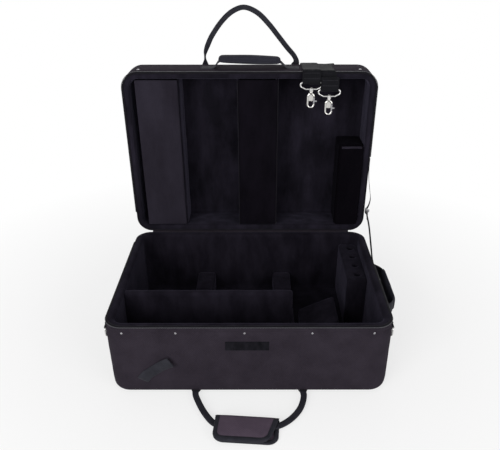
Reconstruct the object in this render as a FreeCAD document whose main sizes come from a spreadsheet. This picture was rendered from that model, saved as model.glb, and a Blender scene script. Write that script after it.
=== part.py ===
import FreeCAD, Part

import math
import os
import re

import Sketcher
from FreeCAD import Placement, Rotation, Vector

# Trumpet case: a deep base and a shallower lid of stiff foam, covered with nylon and lined with plush.
# It stands open, lid upright on its fabric hinge, with two web handles, two padded handles,
# two rings and a shoulder strap laid over the lid.
# Millimetres. Origin at the middle of the base's underside, X along the case, Y to the back, Z up.

SIZES = {
    # the whole case
    "case_length": 540,
    "case_depth": 372,
    "base_height": 164,
    "lid_height": 90,
    "corner_radius": 34,
    "edge_radius": 14,
    "rim_gap": 0.5,
    "hinge_offset": 1.5,
    "fit_gap": 0.3,
    # wall layers
    "nylon_thickness": 1.5,
    "foam_thickness": 10.5,
    "plush_thickness": 2,
    "inner_edge_radius": 6,
    # bound edge on top of each wall
    "rim_height": 3,
    "binding_width": 3,
    "binding_round": 1.2,
    "rim_round": 1.3,
    # zip
    "tape_width": 10,
    "tape_thickness": 0.9,
    "tape_top_gap": 0.6,
    "coil_width": 2.6,
    "coil_thickness": 1.5,
    "coil_round": 0.6,
    "zip_free_right_base": 146,
    "zip_free_left_base": 46,
    "zip_free_right_lid": 181,
    "zip_free_left_lid": 46,
    "slider_back": 4,
    "slider_rise": 53,
    "slider_out": 4.6,
    "slider_length": 12,
    "slider_width": 9,
    "slider_thickness": 4.4,
    "slider_round": 1.1,
    "pull_length": 24,
    "pull_width": 7,
    "pull_eye_width": 4.6,
    "pull_thickness": 1.4,
    "pull_pin_radius": 0.9,
    "pull_bridge": 5,
    "pull_eye_bar": 2.4,
    "pull_eye_length": 4.6,
    "end_tape_width": 9,
    "end_tape_thickness": 1.6,
    "end_tape_bulge": 7,
    # dome nails on the walls
    "nail_radius": 3.6,
    "nail_rise": 1.7,
    "base_nail_height": 148,
    "lid_nail_from_rim": 29,
    # bare patch and loose webbing tab on the front
    "patch_length": 82,
    "patch_height": 21,
    "patch_thickness": 1.2,
    "patch_round": 2,
    "patch_level": 119,
    "front_tab_length": 74,
    "front_tab_width": 25,
    "front_tab_thickness": 1.8,
    "front_tab_lift": 9,
    "front_tab_level": 41,
    "front_tab_from_middle": 205,
    # inside the base
    "divider_thickness": 16,
    "divider_from_front": 114,
    "divider_length": 344,
    "divider_drop": 4,
    "divider_round": 5,
    "saddle_height": 44,
    "saddle_length": 42,
    "saddle_hollow_radius": 44,
    "saddle_hollow_depth": 20,
    "saddle_round": 4,
    "bell_rest_height": 72,
    "bell_rest_low": 34,
    "bell_rest_length": 78,
    "bell_rest_width": 92,
    "bell_rest_from_middle": 110,
    "bell_rest_gap": 6,
    "mouthpiece_block_width": 44,
    "mouthpiece_block_length": 160,
    "mouthpiece_block_drop": 26,
    "mouthpiece_block_round": 5,
    "mouthpiece_bore_shift": 3,
    "mouthpiece_bore_radius": 7.5,
    "mouthpiece_bore_depth": 58,
    "mouthpiece_pitch": 38.5,
    # web handle under the base's front edge
    "anchor_width": 23,
    "anchor_length": 60,
    "base_handle_half_span": 106,
    "base_handle_reach": 92,
    "base_handle_level": 6.5,
    "base_handle_out": 7,
    "web_width": 12,
    "web_thickness": 4,
    "wrap_shift": 5,
    "wrap_hinge_inset": 5,
    "wrap_length": 118,
    "wrap_width": 62,
    "wrap_behind_web": 20,
    "wrap_leaf": 3.6,
    "wrap_round": 11,
    # web handle on the lid's outer face
    "lid_handle_half_span": 99,
    "lid_handle_rise": 112,
    "lid_anchor_length": 78,
    "lid_root_rise": 9,
    # padded handles
    "pad_strap_width": 30,
    "pad_strap_thickness": 2,
    "pad_width": 37,
    "pad_thickness": 11,
    "pad_slot_gap": 0.25,
    "pad_round": 7,
    "lid_pad_shift": 3,
    "pad_crown": 3,
    "pad_strap_bend": 6,
    "pad_shoulder": 5,
    "lid_pad_half_length": 65,
    "lid_pad_rise": 20.5,
    "lid_pad_foot": 84,
    "lid_pad_tail": 22,
    "end_pad_half_length": 58,
    "end_pad_rise": 27,
    "end_pad_foot": 88,
    "end_pad_tail": 22,
    "end_pad_level": 122,
    # rings on the end walls
    "ring_wire_radius": 1.75,
    "ring_width": 30,
    "ring_drop": 23,
    "ring_corner": 9,
    "ring_play": 0.2,
    "ring_tab_fold": 7,
    "ring_from_front": 38,
    "ring_tab_width": 20,
    "ring_tab_length": 12,
    "ring_tab_thickness": 1.6,
    "ring_tab_below": 2.24,
    # fabric hinge
    "hinge_tape_width": 24,
    "hinge_tape_thickness": 1,
    "hinge_bead_gap": 0.12,
    # inside the lid
    "partition_thickness": 5,
    "cover_thickness": 6,
    "cover_sink": 1,
    "cover_end_gap": 1.5,
    "cover_edge_round": 1.5,
    "left_cover_length": 92,
    "left_cover_from_middle": 152,
    "middle_cover_length": 89,
    "middle_cover_from_middle": 62,
    "accessory_box_width": 56,
    "accessory_box_height": 198,
    "accessory_wall": 6,
    "accessory_lid_thickness": 8,
    "accessory_lid_round": 2.7,
    # shoulder strap laid over the lid
    "strap_width": 38,
    "strap_thickness": 1.8,
    "strap_left_middle": 130,
    "strap_pitch": 38.6,
    "strap_left_drop": 20,
    "strap_right_drop": 35,
    "strap_tail": 20,
    "strap_bend": 7.2,
    "strap_ramp": 9,
    "strap_pad_width": 62,
    "strap_pad_thickness": 8,
    "strap_pad_gap": 5,
    "strap_pad_height": 140,
    "strap_back_run": 238,
    "strap_rim_lift": 1.7,
    "strap_face_gap": 0.5,
    "strap_level_back": 412,
    "buckle_length": 48,
    "buckle_height": 34,
    "buckle_thickness": 3,
    "buckle_bar": 4,
    "buckle_bump_half": 3.2,
    "buckle_run": 5.1,
    "buckle_dip": 0.6,
    "buckle_level": 436,
    # swivel hooks
    "frame_length": 49,
    "frame_height": 17,
    "frame_side": 8,
    "frame_neck": 12,
    "frame_bar": 3.5,
    "frame_corner": 4,
    "hook_face_gap": 4.25,
    "boss_radius": 4.6,
    "boss_height": 6,
    "boss_lift": 0.5,
    "post_radius": 2.1,
    "post_gap": 0.15,
    "post_head_radius": 3.36,
    "post_head": 1.05,
    "collar_radius": 4.2,
    "collar_height": 4,
    "hook_length": 33,
    "hook_width": 17,
    "hook_bar": 4,
    "hook_thickness": 4.5,
    "gate_length": 15,
    "gate_width": 3,
    "gate_thickness": 3.6,
    "gate_lever": 5,
    "round_shy": 0.001,
}

# Places along the case, as shares of its length or of a handle's span, chosen by hand.
BASE_NAIL_SHARES = (-0.437, -0.252, -0.015, 0.218, 0.431)
LID_NAIL_SHARES = (-0.44, 0.436)
SADDLE_SHARES = (-0.28, 0.08)
FLUGELHORN_SADDLE_SHARES = (-0.2, 0.14)
BASE_LOOP_SHARES = ((1, 0), (1, 0.12), (0.94, 0.4), (0.78, 0.72), (0.5, 0.95))
LID_LOOP_SHARES = ((-1, 0), (-0.97, 0.17), (-0.85, 0.4), (-0.6, 0.7), (-0.34, 0.93), (-0.08, 0.99),
                   (0.18, 0.87), (0.45, 0.65), (0.72, 0.4), (0.93, 0.18), (1, 0))
BORE_STEP_SHARES = (-1.5, -0.5, 0.5, 1.5)
BASE_END_SHARES = ((0, 0, 0), (0.12, 0.05, 0.06), (0.35, 0.35, 0.32), (0.7, 0.8, 0.72), (1, 1, 1))
LID_END_SHARES = ((0, 0, 0), (0.3, 0.45, 0), (0.68, 1, 0), (1, 0, 1))
BASE_ANCHOR_FOLD_SHARE = 0.43
LID_ANCHOR_FOLD_SHARE = 0.4
ANCHOR_TAPER_SHARE = 0.25
FRONT_TAB_SEWN_SHARE = 0.62
RING_SHOULDER_SHARE = 1 / 3
LEVER_SHARE = 0.35
FRONT_TAB_ANGLE = 37
CURVE_STEPS = 24
TOUCH = 1e-4

doc = FreeCAD.newDocument("trumpet_case")
sheet = doc.addObject("Spreadsheet::Sheet", "sizes")
for row, (alias, amount) in enumerate(SIZES.items(), 1):
    sheet.set(f"A{row}", alias)
    sheet.set(f"B{row}", str(amount))
    sheet.setAlias(f"B{row}", alias)
doc.recompute()

WORD = re.compile(r"[a-z][a-z_]+")


def linked(text):
    """The same expression with each size in it pointed at the sheet."""
    return WORD.sub(lambda word: "sizes." + word.group() if word.group() in SIZES else word.group(), text)


def value(text):
    """The number that an expression of the sheet's sizes comes to."""
    return float(sheet.evalExpression(str(text)))


def bind(thing, fields):
    for field, text in fields.items():
        thing.setExpression(field, linked(text))


parts = {}


def keep(name, thing):
    """Names a finished sub-part, which is also its file's name."""
    thing.Label = name
    parts[name] = thing
    return thing


# Expressions that several pieces share.
HALF_X = "case_length / 2"
HALF_Y = "case_depth / 2"
WALL = "(nylon_thickness + foam_thickness + plush_thickness)"
CORE = "(nylon_thickness + foam_thickness)"
BASE_RIM = "(base_height - rim_gap)"
LID_RIM = "(lid_height - rim_gap)"
LID_LOW = "(base_height + hinge_offset)"
LID_TOP = "(base_height + hinge_offset + case_depth)"
LID_MIDDLE = "(base_height + hinge_offset + case_depth / 2)"
LID_BACK = "(case_depth / 2 + hinge_offset + lid_height)"
LID_FRONT = "(case_depth / 2 + hinge_offset + rim_gap)"
UP_ON_BACK = Rotation(Vector(1, 0, 0), 90)


def at(x="0", y="0", z="0"):
    return Vector(value(x), value(y), value(z))


# Sketches


def new_sketch(body, level="0", role="XY_Plane"):
    """A sketch flat on one of the body's own planes, raised to a level."""
    sketch = body.newObject("Sketcher::SketchObject", body.Name + "_sketch")
    plane = next(plane for plane in body.Origin.OriginFeatures if plane.Role == role)
    sketch.AttachmentSupport = [(plane, "")]
    sketch.MapMode = "FlatFace"
    bind(sketch, {"AttachmentOffset.Base.z": level})
    return sketch


def pin_point(sketch, geometry, end, x, y):
    """Holds one end of a sketch's line at a bound place."""
    for kind, text in (("DistanceX", x), ("DistanceY", y)):
        index = sketch.addConstraint(Sketcher.Constraint(kind, -1, 1, geometry, end, value(text)))
        name = f"{kind}_{geometry}_{end}"
        sketch.renameConstraint(index, name)
        bind(sketch, {"Constraints." + name: text})


def polygon(sketch, points):
    """A closed outline of straight lines through bound places."""
    first = sketch.GeometryCount
    count = len(points)
    for index in range(count):
        start, end = points[index], points[(index + 1) % count]
        sketch.addGeometry(Part.LineSegment(at(*start), at(*end)))
    for index in range(count):
        after = first + (index + 1) % count
        sketch.addConstraint(Sketcher.Constraint("Coincident", first + index, 2, after, 1))
    for index, point in enumerate(points):
        pin_point(sketch, first + index, 1, *point)


def rounded_outline(sketch, half_x, half_y, radius, middle=("0", "0")):
    """A rectangle with round corners about a bound middle."""
    first = sketch.GeometryCount
    hx, hy, r = value(half_x), value(half_y), value(radius)
    cx, cy = value(middle[0]), value(middle[1])
    corners = ((1, -1, -90), (1, 1, 0), (-1, 1, 90), (-1, -1, 180))
    for index, (sx, sy, turn) in enumerate(corners):
        angle = math.radians(turn)
        centre = Vector(cx + sx * (hx - r), cy + sy * (hy - r), 0)
        circle = Part.Circle(centre, Vector(0, 0, 1), r)
        sketch.addGeometry(Part.ArcOfCircle(circle, angle, angle + math.pi / 2))
    for index, (sx, sy, turn) in enumerate(corners):
        after = corners[(index + 1) % 4]
        leave = math.radians(turn + 90)
        centre = Vector(cx + sx * (hx - r), cy + sy * (hy - r), 0)
        next_centre = Vector(cx + after[0] * (hx - r), cy + after[1] * (hy - r), 0)
        out = Vector(math.cos(leave), math.sin(leave), 0) * r
        sketch.addGeometry(Part.LineSegment(centre + out, next_centre + out))
    for index in range(4):
        line = first + 4 + index
        sketch.addConstraint(Sketcher.Constraint("Tangent", first + index, 2, line, 1))
        sketch.addConstraint(Sketcher.Constraint("Tangent", line, 2, first + (index + 1) % 4, 1))
    for index in range(1, 4):
        sketch.addConstraint(Sketcher.Constraint("Equal", first, first + index))
    for index in (0, 2):
        sketch.addConstraint(Sketcher.Constraint("Vertical", first + 4 + index))
        sketch.addConstraint(Sketcher.Constraint("Horizontal", first + 5 + index))
    sides = (
        ("Radius", (first, r), radius),
        ("DistanceX", (-1, 1, first + 4, 1, cx + hx), f"{middle[0]} + {half_x}"),
        ("DistanceX", (-1, 1, first + 6, 1, cx - hx), f"{middle[0]} - ({half_x})"),
        ("DistanceY", (-1, 1, first + 5, 1, cy + hy), f"{middle[1]} + {half_y}"),
        ("DistanceY", (-1, 1, first + 7, 1, cy - hy), f"{middle[1]} - ({half_y})"),
    )
    for kind, numbers, text in sides:
        index = sketch.addConstraint(Sketcher.Constraint(kind, *numbers))
        name = f"side_{index}"
        sketch.renameConstraint(index, name)
        bind(sketch, {"Constraints." + name: text})


# Solid features


def new_body(name, place=None):
    body = doc.addObject("PartDesign::Body", name + "_body")
    if place:
        body.Placement = Placement(Vector(), UP_ON_BACK)
        bind(body, place)
    return body


def pad(body, sketch, length):
    feature = body.newObject("PartDesign::Pad", body.Name + "_pad")
    feature.Profile = sketch
    bind(feature, {"Length": length})
    doc.recompute()
    return feature


def pocket(body, sketch, length):
    feature = body.newObject("PartDesign::Pocket", body.Name + "_pocket")
    feature.Profile = sketch
    bind(feature, {"Length": length})
    doc.recompute()
    return feature


def flat_edges(shape, level, test=None):
    """Names of the edges that lie wholly at one level."""
    height = value(level)
    names = []
    for index, edge in enumerate(shape.Edges, 1):
        box = edge.BoundBox
        if abs(box.ZMin - height) < TOUCH and abs(box.ZMax - height) < TOUCH:
            if test is None or test(edge):
                names.append(f"Edge{index}")
    return names


def round_edges(body, level, radius, test=None):
    """Rounds the edges of the body's last feature that lie at one level."""
    base = body.Tip
    feature = body.newObject("PartDesign::Fillet", body.Name + "_round")
    feature.Base = (base, flat_edges(base.Shape, level, test))
    bind(feature, {"Radius": radius})
    doc.recompute()
    return feature


def tray_outline(sketch, inset):
    rounded_outline(sketch, f"{HALF_X} - ({inset})", f"{HALF_Y} - ({inset})", f"corner_radius - ({inset})")


def tray(body, inset, floor, top, edge, hollow_inset, hollow_floor, hollow_edge):
    """An open tray: a block with a rounded foot, hollowed from the top."""
    sketch = new_sketch(body, floor)
    tray_outline(sketch, inset)
    pad(body, sketch, f"{top} - ({floor})")
    sketch = new_sketch(body, top)
    tray_outline(sketch, hollow_inset)
    pocket(body, sketch, f"{top} - ({hollow_floor})")
    round_edges(body, hollow_floor, hollow_edge)
    round_edges(body, floor, edge)
    return body


def ring_pad(body, outer_inset, inner_inset, floor, height):
    """An upright band that runs round the case between two insets."""
    sketch = new_sketch(body, floor)
    tray_outline(sketch, outer_inset)
    tray_outline(sketch, inner_inset)
    return pad(body, sketch, height)


def box(length, width, height, corner):
    """A plain block with its lowest corner at a bound place."""
    block = doc.addObject("Part::Box", "block")
    bind(block, {"Length": length, "Width": width, "Height": height})
    bind(block, {f"Placement.Base.{axis}": text for axis, text in zip("xyz", corner)})
    return block


def rounded_block(name, size, middle, radius, face=">Z"):
    """A block with the edges round one of its faces rounded."""
    length, width, height = size
    block = box(length, width, height, [f"{m} - ({s}) / 2" for m, s in zip(middle, size)])
    doc.recompute()
    axis = "XYZ".index(face[1])
    sign = 1 if face[0] == ">" else -1
    span = block.Shape.BoundBox
    level = ((span.XMin, span.XMax), (span.YMin, span.YMax), (span.ZMin, span.ZMax))[axis][sign > 0]
    edges = []
    for index, edge in enumerate(block.Shape.Edges, 1):
        if all(abs(vertex.Point[axis] - level) < TOUCH for vertex in edge.Vertexes):
            edges.append((index, value(radius), value(radius)))
    rounded = doc.addObject("Part::Fillet", name)
    rounded.Base = block
    rounded.Edges = edges
    doc.recompute()
    return rounded


def group(name, things):
    """Several separate solids that share one node."""
    compound = doc.addObject("Part::Compound", name)
    compound.Links = things
    return compound


def cut(name, base, tool):
    result = doc.addObject("Part::Cut", name)
    result.Base = base
    result.Tool = tool
    return result


def made(name, shape, place=None):
    """A piece whose form comes from a path or a loft."""
    thing = doc.addObject("Part::Feature", name)
    thing.Shape = shape
    thing.Placement = place or Placement()
    return thing


# Bent strips, such as webbing


def rounded_path(points, radii):
    """Straight runs through the points, joined by tangent arcs."""
    edges = []
    here = points[0]
    for index in range(1, len(points) - 1):
        corner = points[index]
        before = (points[index - 1] - corner).normalize()
        after = (points[index + 1] - corner).normalize()
        turn = math.pi - before.getAngle(after)
        reach = radii[index] * math.tan(turn / 2)
        start, end = corner + before * reach, corner + after * reach
        bisector = (before + after).normalize()
        middle = corner + bisector * (radii[index] / math.cos(turn / 2) - radii[index])
        if (start - here).Length > TOUCH:
            edges.append(Part.LineSegment(here, start).toShape())
        edges.append(Part.Arc(start, middle, end).toShape())
        here = end
    if (points[-1] - here).Length > TOUCH:
        edges.append(Part.LineSegment(here, points[-1]).toShape())
    return edges


def beside(points, radii, shift):
    """The same path moved sideways, to its left where the shift is positive."""
    moved, bent = [], []
    steps = [(b - a).normalize() for a, b in zip(points, points[1:])]
    lefts = [Vector(-step.y, step.x, 0) for step in steps]
    for index, point in enumerate(points):
        one = lefts[max(index - 1, 0)]
        two = lefts[min(index, len(lefts) - 1)]
        moved.append(point + (one + two) * (shift / (1 + one.dot(two))))
        inside = 0 < index < len(points) - 1
        turn = steps[index - 1].cross(steps[index]).z if inside else 0
        bent.append(radii[index] - (shift if turn > 0 else -shift) if inside else 0)
    return moved, bent


def strip(points, radii, thickness, width):
    """A strip that follows a path in its own XY plane and is as wide as told along Z."""
    points = [Vector(x, y, -width / 2) for x, y in points]
    if not isinstance(radii, (list, tuple)):
        radii = [radii] * len(points)
    left, left_radii = beside(points, radii, thickness / 2)
    right, right_radii = beside(points, radii, -thickness / 2)
    edges = rounded_path(left, left_radii)
    edges.append(Part.LineSegment(left[-1], right[-1]).toShape())
    edges += rounded_path(right[::-1], right_radii[::-1])
    edges.append(Part.LineSegment(right[0], left[0]).toShape())
    face = Part.Face(Part.Wire(Part.__sortEdges__(edges)))
    return face.extrude(Vector(0, 0, width))


def curved_strip(points, leave, arrive, thickness, width):
    """A strip like the last, whose path is one smooth curve through the points."""
    curve = Part.BSplineCurve()
    spots = [Vector(x, y, -width / 2) for x, y in points]
    curve.interpolate(spots, InitialTangent=leave, FinalTangent=arrive)
    edges, ends = [], []
    for side in (1, -1):
        line = []
        for share in (step / CURVE_STEPS for step in range(CURVE_STEPS + 1)):
            spot = curve.FirstParameter + (curve.LastParameter - curve.FirstParameter) * share
            along = curve.tangent(spot)[0]
            line.append(curve.value(spot) + Vector(-along.y, along.x, 0) * (side * thickness / 2))
        smooth = Part.BSplineCurve()
        smooth.interpolate(line)
        edges.append(smooth.toShape())
        ends.append((line[0], line[-1]))
    for left, right in zip(*ends):
        edges.append(Part.LineSegment(left, right).toShape())
    return Part.Face(Part.Wire(Part.__sortEdges__(edges))).extrude(Vector(0, 0, width))


# Directions for strips: which way the path's own X and Y point in the case.
IN_FRONT_PLANE = UP_ON_BACK
IN_SIDE_PLANE = Rotation(Vector(0, 1, 0), Vector(0, 0, 1), Vector(1, 0, 0), "XYZ")
IN_FLOOR_PLANE_OUT_RIGHT = Rotation(Vector(0, 1, 0), Vector(1, 0, 0), Vector(0, 0, -1), "XYZ")


# The base: cover, foam and lining, one inside the other

COVER_TOP = f"({BASE_RIM} - rim_height)"

base_foam = new_body("base_foam_tray")
tray(base_foam, "nylon_thickness", "nylon_thickness", COVER_TOP, "edge_radius - nylon_thickness",
     CORE, CORE, "inner_edge_radius + plush_thickness")
keep("base_foam_tray", base_foam)

base_cover = new_body("base_side_cover")
tray(base_cover, "0", "0", COVER_TOP, "edge_radius",
     "nylon_thickness", "nylon_thickness", "edge_radius - nylon_thickness")
sketch = new_sketch(base_cover, COVER_TOP)
tray_outline(sketch, "edge_radius")
pocket(base_cover, sketch, f"{COVER_TOP}")

base_panel = new_body("base_bottom_panel")
sketch = new_sketch(base_panel)
tray_outline(sketch, "edge_radius")
pad(base_panel, sketch, "nylon_thickness")


def lining(name, top, place=None):
    """Plush inside the foam, rolled over the top of the wall up to the binding."""
    body = new_body(name, place)
    low_top = f"({top} - rim_height)"
    sketch = new_sketch(body, CORE)
    tray_outline(sketch, CORE)
    pad(body, sketch, f"{low_top} - {CORE}")
    sketch = new_sketch(body, low_top)
    tray_outline(sketch, "binding_width")
    pad(body, sketch, "rim_height")
    sketch = new_sketch(body, top)
    tray_outline(sketch, WALL)
    pocket(body, sketch, f"{top} - {WALL}")
    round_edges(body, WALL, "inner_edge_radius")
    round_edges(body, CORE, "inner_edge_radius + plush_thickness")
    round_edges(body, top, "rim_round")
    return keep(name, body)


def binding(name, top, place=None):
    """The bound outer edge of the rim."""
    body = new_body(name, place)
    ring_pad(body, "0", "binding_width", f"{top} - rim_height", "rim_height")
    round_edges(body, top, "binding_round")
    return keep(name, body)


def zip_cutout(body, level, height, hinge_sign, left_free, right_free):
    """Takes away the band near the hinge, where the zip is not sewn down."""
    far_x, far_y = "case_length", f"{hinge_sign} * case_depth"
    left = f"{hinge_sign} * ({HALF_Y} - {left_free})"
    right = f"{hinge_sign} * ({HALF_Y} - {right_free})"
    sketch = new_sketch(body, level)
    polygon(sketch, [(f"-{far_x}", left), ("0", left), ("0", right), (far_x, right),
                     (far_x, far_y), (f"-{far_x}", far_y)])
    return pocket(body, sketch, height)


def zip_band(name, top, hinge_sign, left_free, right_free, place=None):
    """One half of the zip's tape, sewn round the outside below the rim."""
    body = new_body(name + "_tape", place)
    ring_pad(body, "-tape_thickness", "0", f"{top} - tape_top_gap - tape_width", "tape_width")
    high = f"{top} - tape_top_gap"
    zip_cutout(body, high, "tape_width * 2", hinge_sign, left_free, right_free)
    keep(name + "_tape", body)
    body = new_body(name + "_coil", place)
    coil_low = f"{high} - coil_width"
    ring_pad(body, "-tape_thickness - coil_thickness", "-tape_thickness", coil_low, "coil_width")
    corner = value("corner_radius")

    def outer(edge):
        middle = edge.valueAt((edge.FirstParameter + edge.LastParameter) / 2)
        dx = max(abs(middle.x) - (value(HALF_X) - corner), 0)
        dy = max(abs(middle.y) - (value(HALF_Y) - corner), 0)
        return math.hypot(dx, dy) > corner + value("tape_thickness") + value("coil_thickness") / 2

    round_edges(body, high, "coil_round", outer)
    round_edges(body, coil_low, "coil_round", outer)
    zip_cutout(body, high, "coil_width * 2", hinge_sign, left_free, right_free)
    keep(name + "_coil", body)


lining("base_lining", BASE_RIM)
binding("base_rim_binding", BASE_RIM)
zip_band("base_zipper", BASE_RIM, 1, "zip_free_left_base", "zip_free_right_base")

# The lid's layers are drawn rim up, then stood on edge behind the base.
LID_PLACE = {"Placement.Base.y": LID_BACK, "Placement.Base.z": LID_MIDDLE}
LID_COVER_TOP = f"({LID_RIM} - rim_height)"

lid_foam = new_body("lid_foam_tray", LID_PLACE)
tray(lid_foam, "nylon_thickness", "nylon_thickness", LID_COVER_TOP, "edge_radius - nylon_thickness",
     CORE, CORE, "inner_edge_radius + plush_thickness")
keep("lid_foam_tray", lid_foam)

lid_cover = new_body("lid_side_cover", LID_PLACE)
tray(lid_cover, "0", "0", LID_COVER_TOP, "edge_radius",
     "nylon_thickness", "nylon_thickness", "edge_radius - nylon_thickness")
sketch = new_sketch(lid_cover, LID_COVER_TOP)
tray_outline(sketch, "edge_radius")
pocket(lid_cover, sketch, LID_COVER_TOP)
keep("lid_side_cover", lid_cover)

lid_panel = new_body("lid_top_panel", LID_PLACE)
sketch = new_sketch(lid_panel)
tray_outline(sketch, "edge_radius")
pad(lid_panel, sketch, "nylon_thickness")
keep("lid_top_panel", lid_panel)

lining("lid_lining", LID_RIM, LID_PLACE)
binding("lid_rim_binding", LID_RIM, LID_PLACE)
zip_band("lid_zipper", LID_RIM, -1, "zip_free_left_lid", "zip_free_right_lid", LID_PLACE)


# Cover of the base, with notches where the web handle's roots come out from under it


def mirrored_pair(make):
    """The same piece on the left and on the right."""
    return [make(-1), make(1)]


def notch(side):
    width = "(anchor_width + 2 * fit_gap)"
    middle = f"{side} * base_handle_half_span"
    return box(width, "edge_radius + anchor_length + fit_gap", "nylon_thickness + 2 * fit_gap",
               (f"{middle} - {width} / 2", f"-{HALF_Y}", "0"))


notches = group("handle_notches", mirrored_pair(notch))
keep("base_side_cover", cut("base_side_cover", base_cover, notches))
keep("base_bottom_panel", cut("base_bottom_panel", base_panel, notches))


def section(middle, width, thickness, across, through):
    """A flat rectangle for a loft, as wide as told across and as thick as told through."""
    corners = []
    for a, b in ((-1, -1), (1, -1), (1, 1), (-1, 1)):
        corners.append(middle + across * (a * width / 2) + through * (b * thickness / 2))
    return Part.makePolygon(corners + corners[:1])


X_WAY, Y_WAY, Z_WAY = Vector(1, 0, 0), Vector(0, 1, 0), Vector(0, 0, 1)


def base_anchor(side):
    """Webbing sewn flat under the case, then narrowed to the folded handle."""
    x = side * value("base_handle_half_span")
    flat, folded = value("nylon_thickness"), value("web_thickness")
    edge = value("edge_radius")
    front = -value(HALF_Y)
    wide, narrow = value("anchor_width"), value("web_width")
    end = front - value("base_handle_out - web_thickness / 2 - fit_gap")
    middles = (
        (front + edge + value("anchor_length"), flat / 2, wide, flat),
        (front + edge, flat / 2, wide, flat),
        (front + edge * BASE_ANCHOR_FOLD_SHARE, flat / 2, wide + (narrow - wide) * ANCHOR_TAPER_SHARE, flat),
        (end, value("base_handle_level"), narrow, folded),
    )
    wires = [section(Vector(x, y, z), w, t, X_WAY, Z_WAY) for y, z, w, t in middles]
    return Part.makeLoft(wires, True, True)


keep("base_handle_anchors", made("base_handle_anchors", Part.makeCompound(mirrored_pair(base_anchor))))


def lid_anchor(side):
    x = side * value("lid_handle_half_span")
    back, top, edge = value(LID_BACK), value(LID_TOP), value("edge_radius")
    flat, folded = value("strap_thickness"), value("web_thickness")
    wide, narrow = value("anchor_width"), value("web_width")
    taper = wide + (narrow - wide) * ANCHOR_TAPER_SHARE
    end = top + value("lid_root_rise - web_thickness / 2 - fit_gap")
    middles = (
        (back + flat / 2, top - edge - value("lid_anchor_length"), wide, flat),
        (back + flat / 2, top - edge, wide, flat),
        (back + flat / 2, top - edge * LID_ANCHOR_FOLD_SHARE, taper, flat),
        (back + value("fit_gap") + folded / 2, end, narrow, folded),
    )
    wires = [section(Vector(x, y, z), w, t, X_WAY, Y_WAY) for y, z, w, t in middles]
    return Part.makeLoft(wires, True, True)


keep("lid_handle_anchors", made("lid_handle_anchors", Part.makeCompound(mirrored_pair(lid_anchor))))


# The web handles, folded webbing in an arch


def web_loop(name, shares, half_span, reach, place):
    """Folded webbing along an arch, with round ends that turn at the roots."""
    points = [(x * value(half_span), y * value(reach)) for x, y in shares]
    solid = curved_strip(points, Y_WAY, -Y_WAY, value("web_width"), value("web_thickness"))
    for point in (points[0], points[-1]):
        start = Vector(point[0] - value("web_width") / 2, 0, 0)
        solid = solid.fuse(Part.makeCylinder(value("web_thickness") / 2, value("web_width"), start, X_WAY))
    return keep(name, made(name, solid.removeSplitter(), place))


base_shares = [(-x, y) for x, y in BASE_LOOP_SHARES] + list(BASE_LOOP_SHARES[::-1])
BASE_PIVOT = at("0", f"-{HALF_Y} - base_handle_out", "base_handle_level")
flat_forward = Rotation(Vector(1, 0, 0), Vector(0, -1, 0), Vector(0, 0, -1), "XYZ")
web_loop("base_handle_web", base_shares, "base_handle_half_span", "base_handle_reach",
         Placement(BASE_PIVOT, flat_forward))

LID_PIVOT = at("0", f"{LID_BACK} + fit_gap + web_thickness / 2", f"{LID_TOP} + lid_root_rise")
web_loop("lid_handle_web", LID_LOOP_SHARES, "lid_handle_half_span", "lid_handle_rise",
         Placement(LID_PIVOT, IN_FRONT_PLANE))


# The padded wrap that closes round the base's web handle


def round_corners(solid, radius, test):
    """Rounds the upright edges of a flat leaf that pass a test."""
    edges = [edge for edge in solid.Edges if test(edge)]
    return solid.makeFillet(radius, edges)


WEB_LINE = f"(-{HALF_Y} - base_handle_out - base_handle_reach * {BASE_LOOP_SHARES[-1][1]})"
leaf_rise = value("web_thickness / 2 + fit_gap + wrap_leaf / 2")
fold_line = value(f"{WEB_LINE} + wrap_behind_web")
wrap_front = value(f"{WEB_LINE} + wrap_behind_web - wrap_width")
level = value("base_handle_level")
hinge_line = fold_line - value("wrap_hinge_inset")
wrap_path = [(wrap_front, level - leaf_rise), (fold_line, level - leaf_rise),
             (fold_line, level + leaf_rise), (hinge_line, level + leaf_rise)]
under_leaf = strip(wrap_path, leaf_rise - value("fit_gap") / 2, value("wrap_leaf"), value("wrap_length"))


def at_wrap_front(edge):
    """True for the two short corner edges at the leaf's free end."""
    ends = [vertex.Point for vertex in edge.Vertexes]
    return len(ends) == 2 and all(abs(point.x - wrap_front) < TOUCH for point in ends) and \
        abs(ends[0].z - ends[1].z) < TOUCH


under_leaf = round_corners(under_leaf, value("wrap_round"), at_wrap_front)
wrap_place = Placement(at("-wrap_shift"), IN_SIDE_PLANE)
keep("base_handle_wrap", made("base_handle_wrap", under_leaf, wrap_place))

flap_start = hinge_line - value("fit_gap")
over_leaf = strip([(wrap_front, level + leaf_rise), (flap_start, level + leaf_rise)], 0,
                  value("wrap_leaf"), value("wrap_length"))
over_leaf = round_corners(over_leaf, value("wrap_round"), at_wrap_front)
keep("base_handle_flap", made("base_handle_flap", over_leaf, wrap_place))


# Padded handles: a webbing strap through a padded sleeve


def crowned(length, thick, crown, width):
    """A cushion's solid along X, thickest along its middle and bowed on both faces."""
    low = thick / 2 - crown
    corners = [Vector(-length / 2, low, -width / 2), Vector(-length / 2, low, width / 2),
               Vector(-length / 2, -low, width / 2), Vector(-length / 2, -low, -width / 2)]
    edges = [Part.Arc(corners[0], Vector(-length / 2, thick / 2, 0), corners[1]).toShape(),
             Part.LineSegment(corners[1], corners[2]).toShape(),
             Part.Arc(corners[2], Vector(-length / 2, -thick / 2, 0), corners[3]).toShape(),
             Part.LineSegment(corners[3], corners[0]).toShape()]
    return Part.Face(Part.Wire(edges)).extrude(Vector(length, 0, 0))


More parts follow.
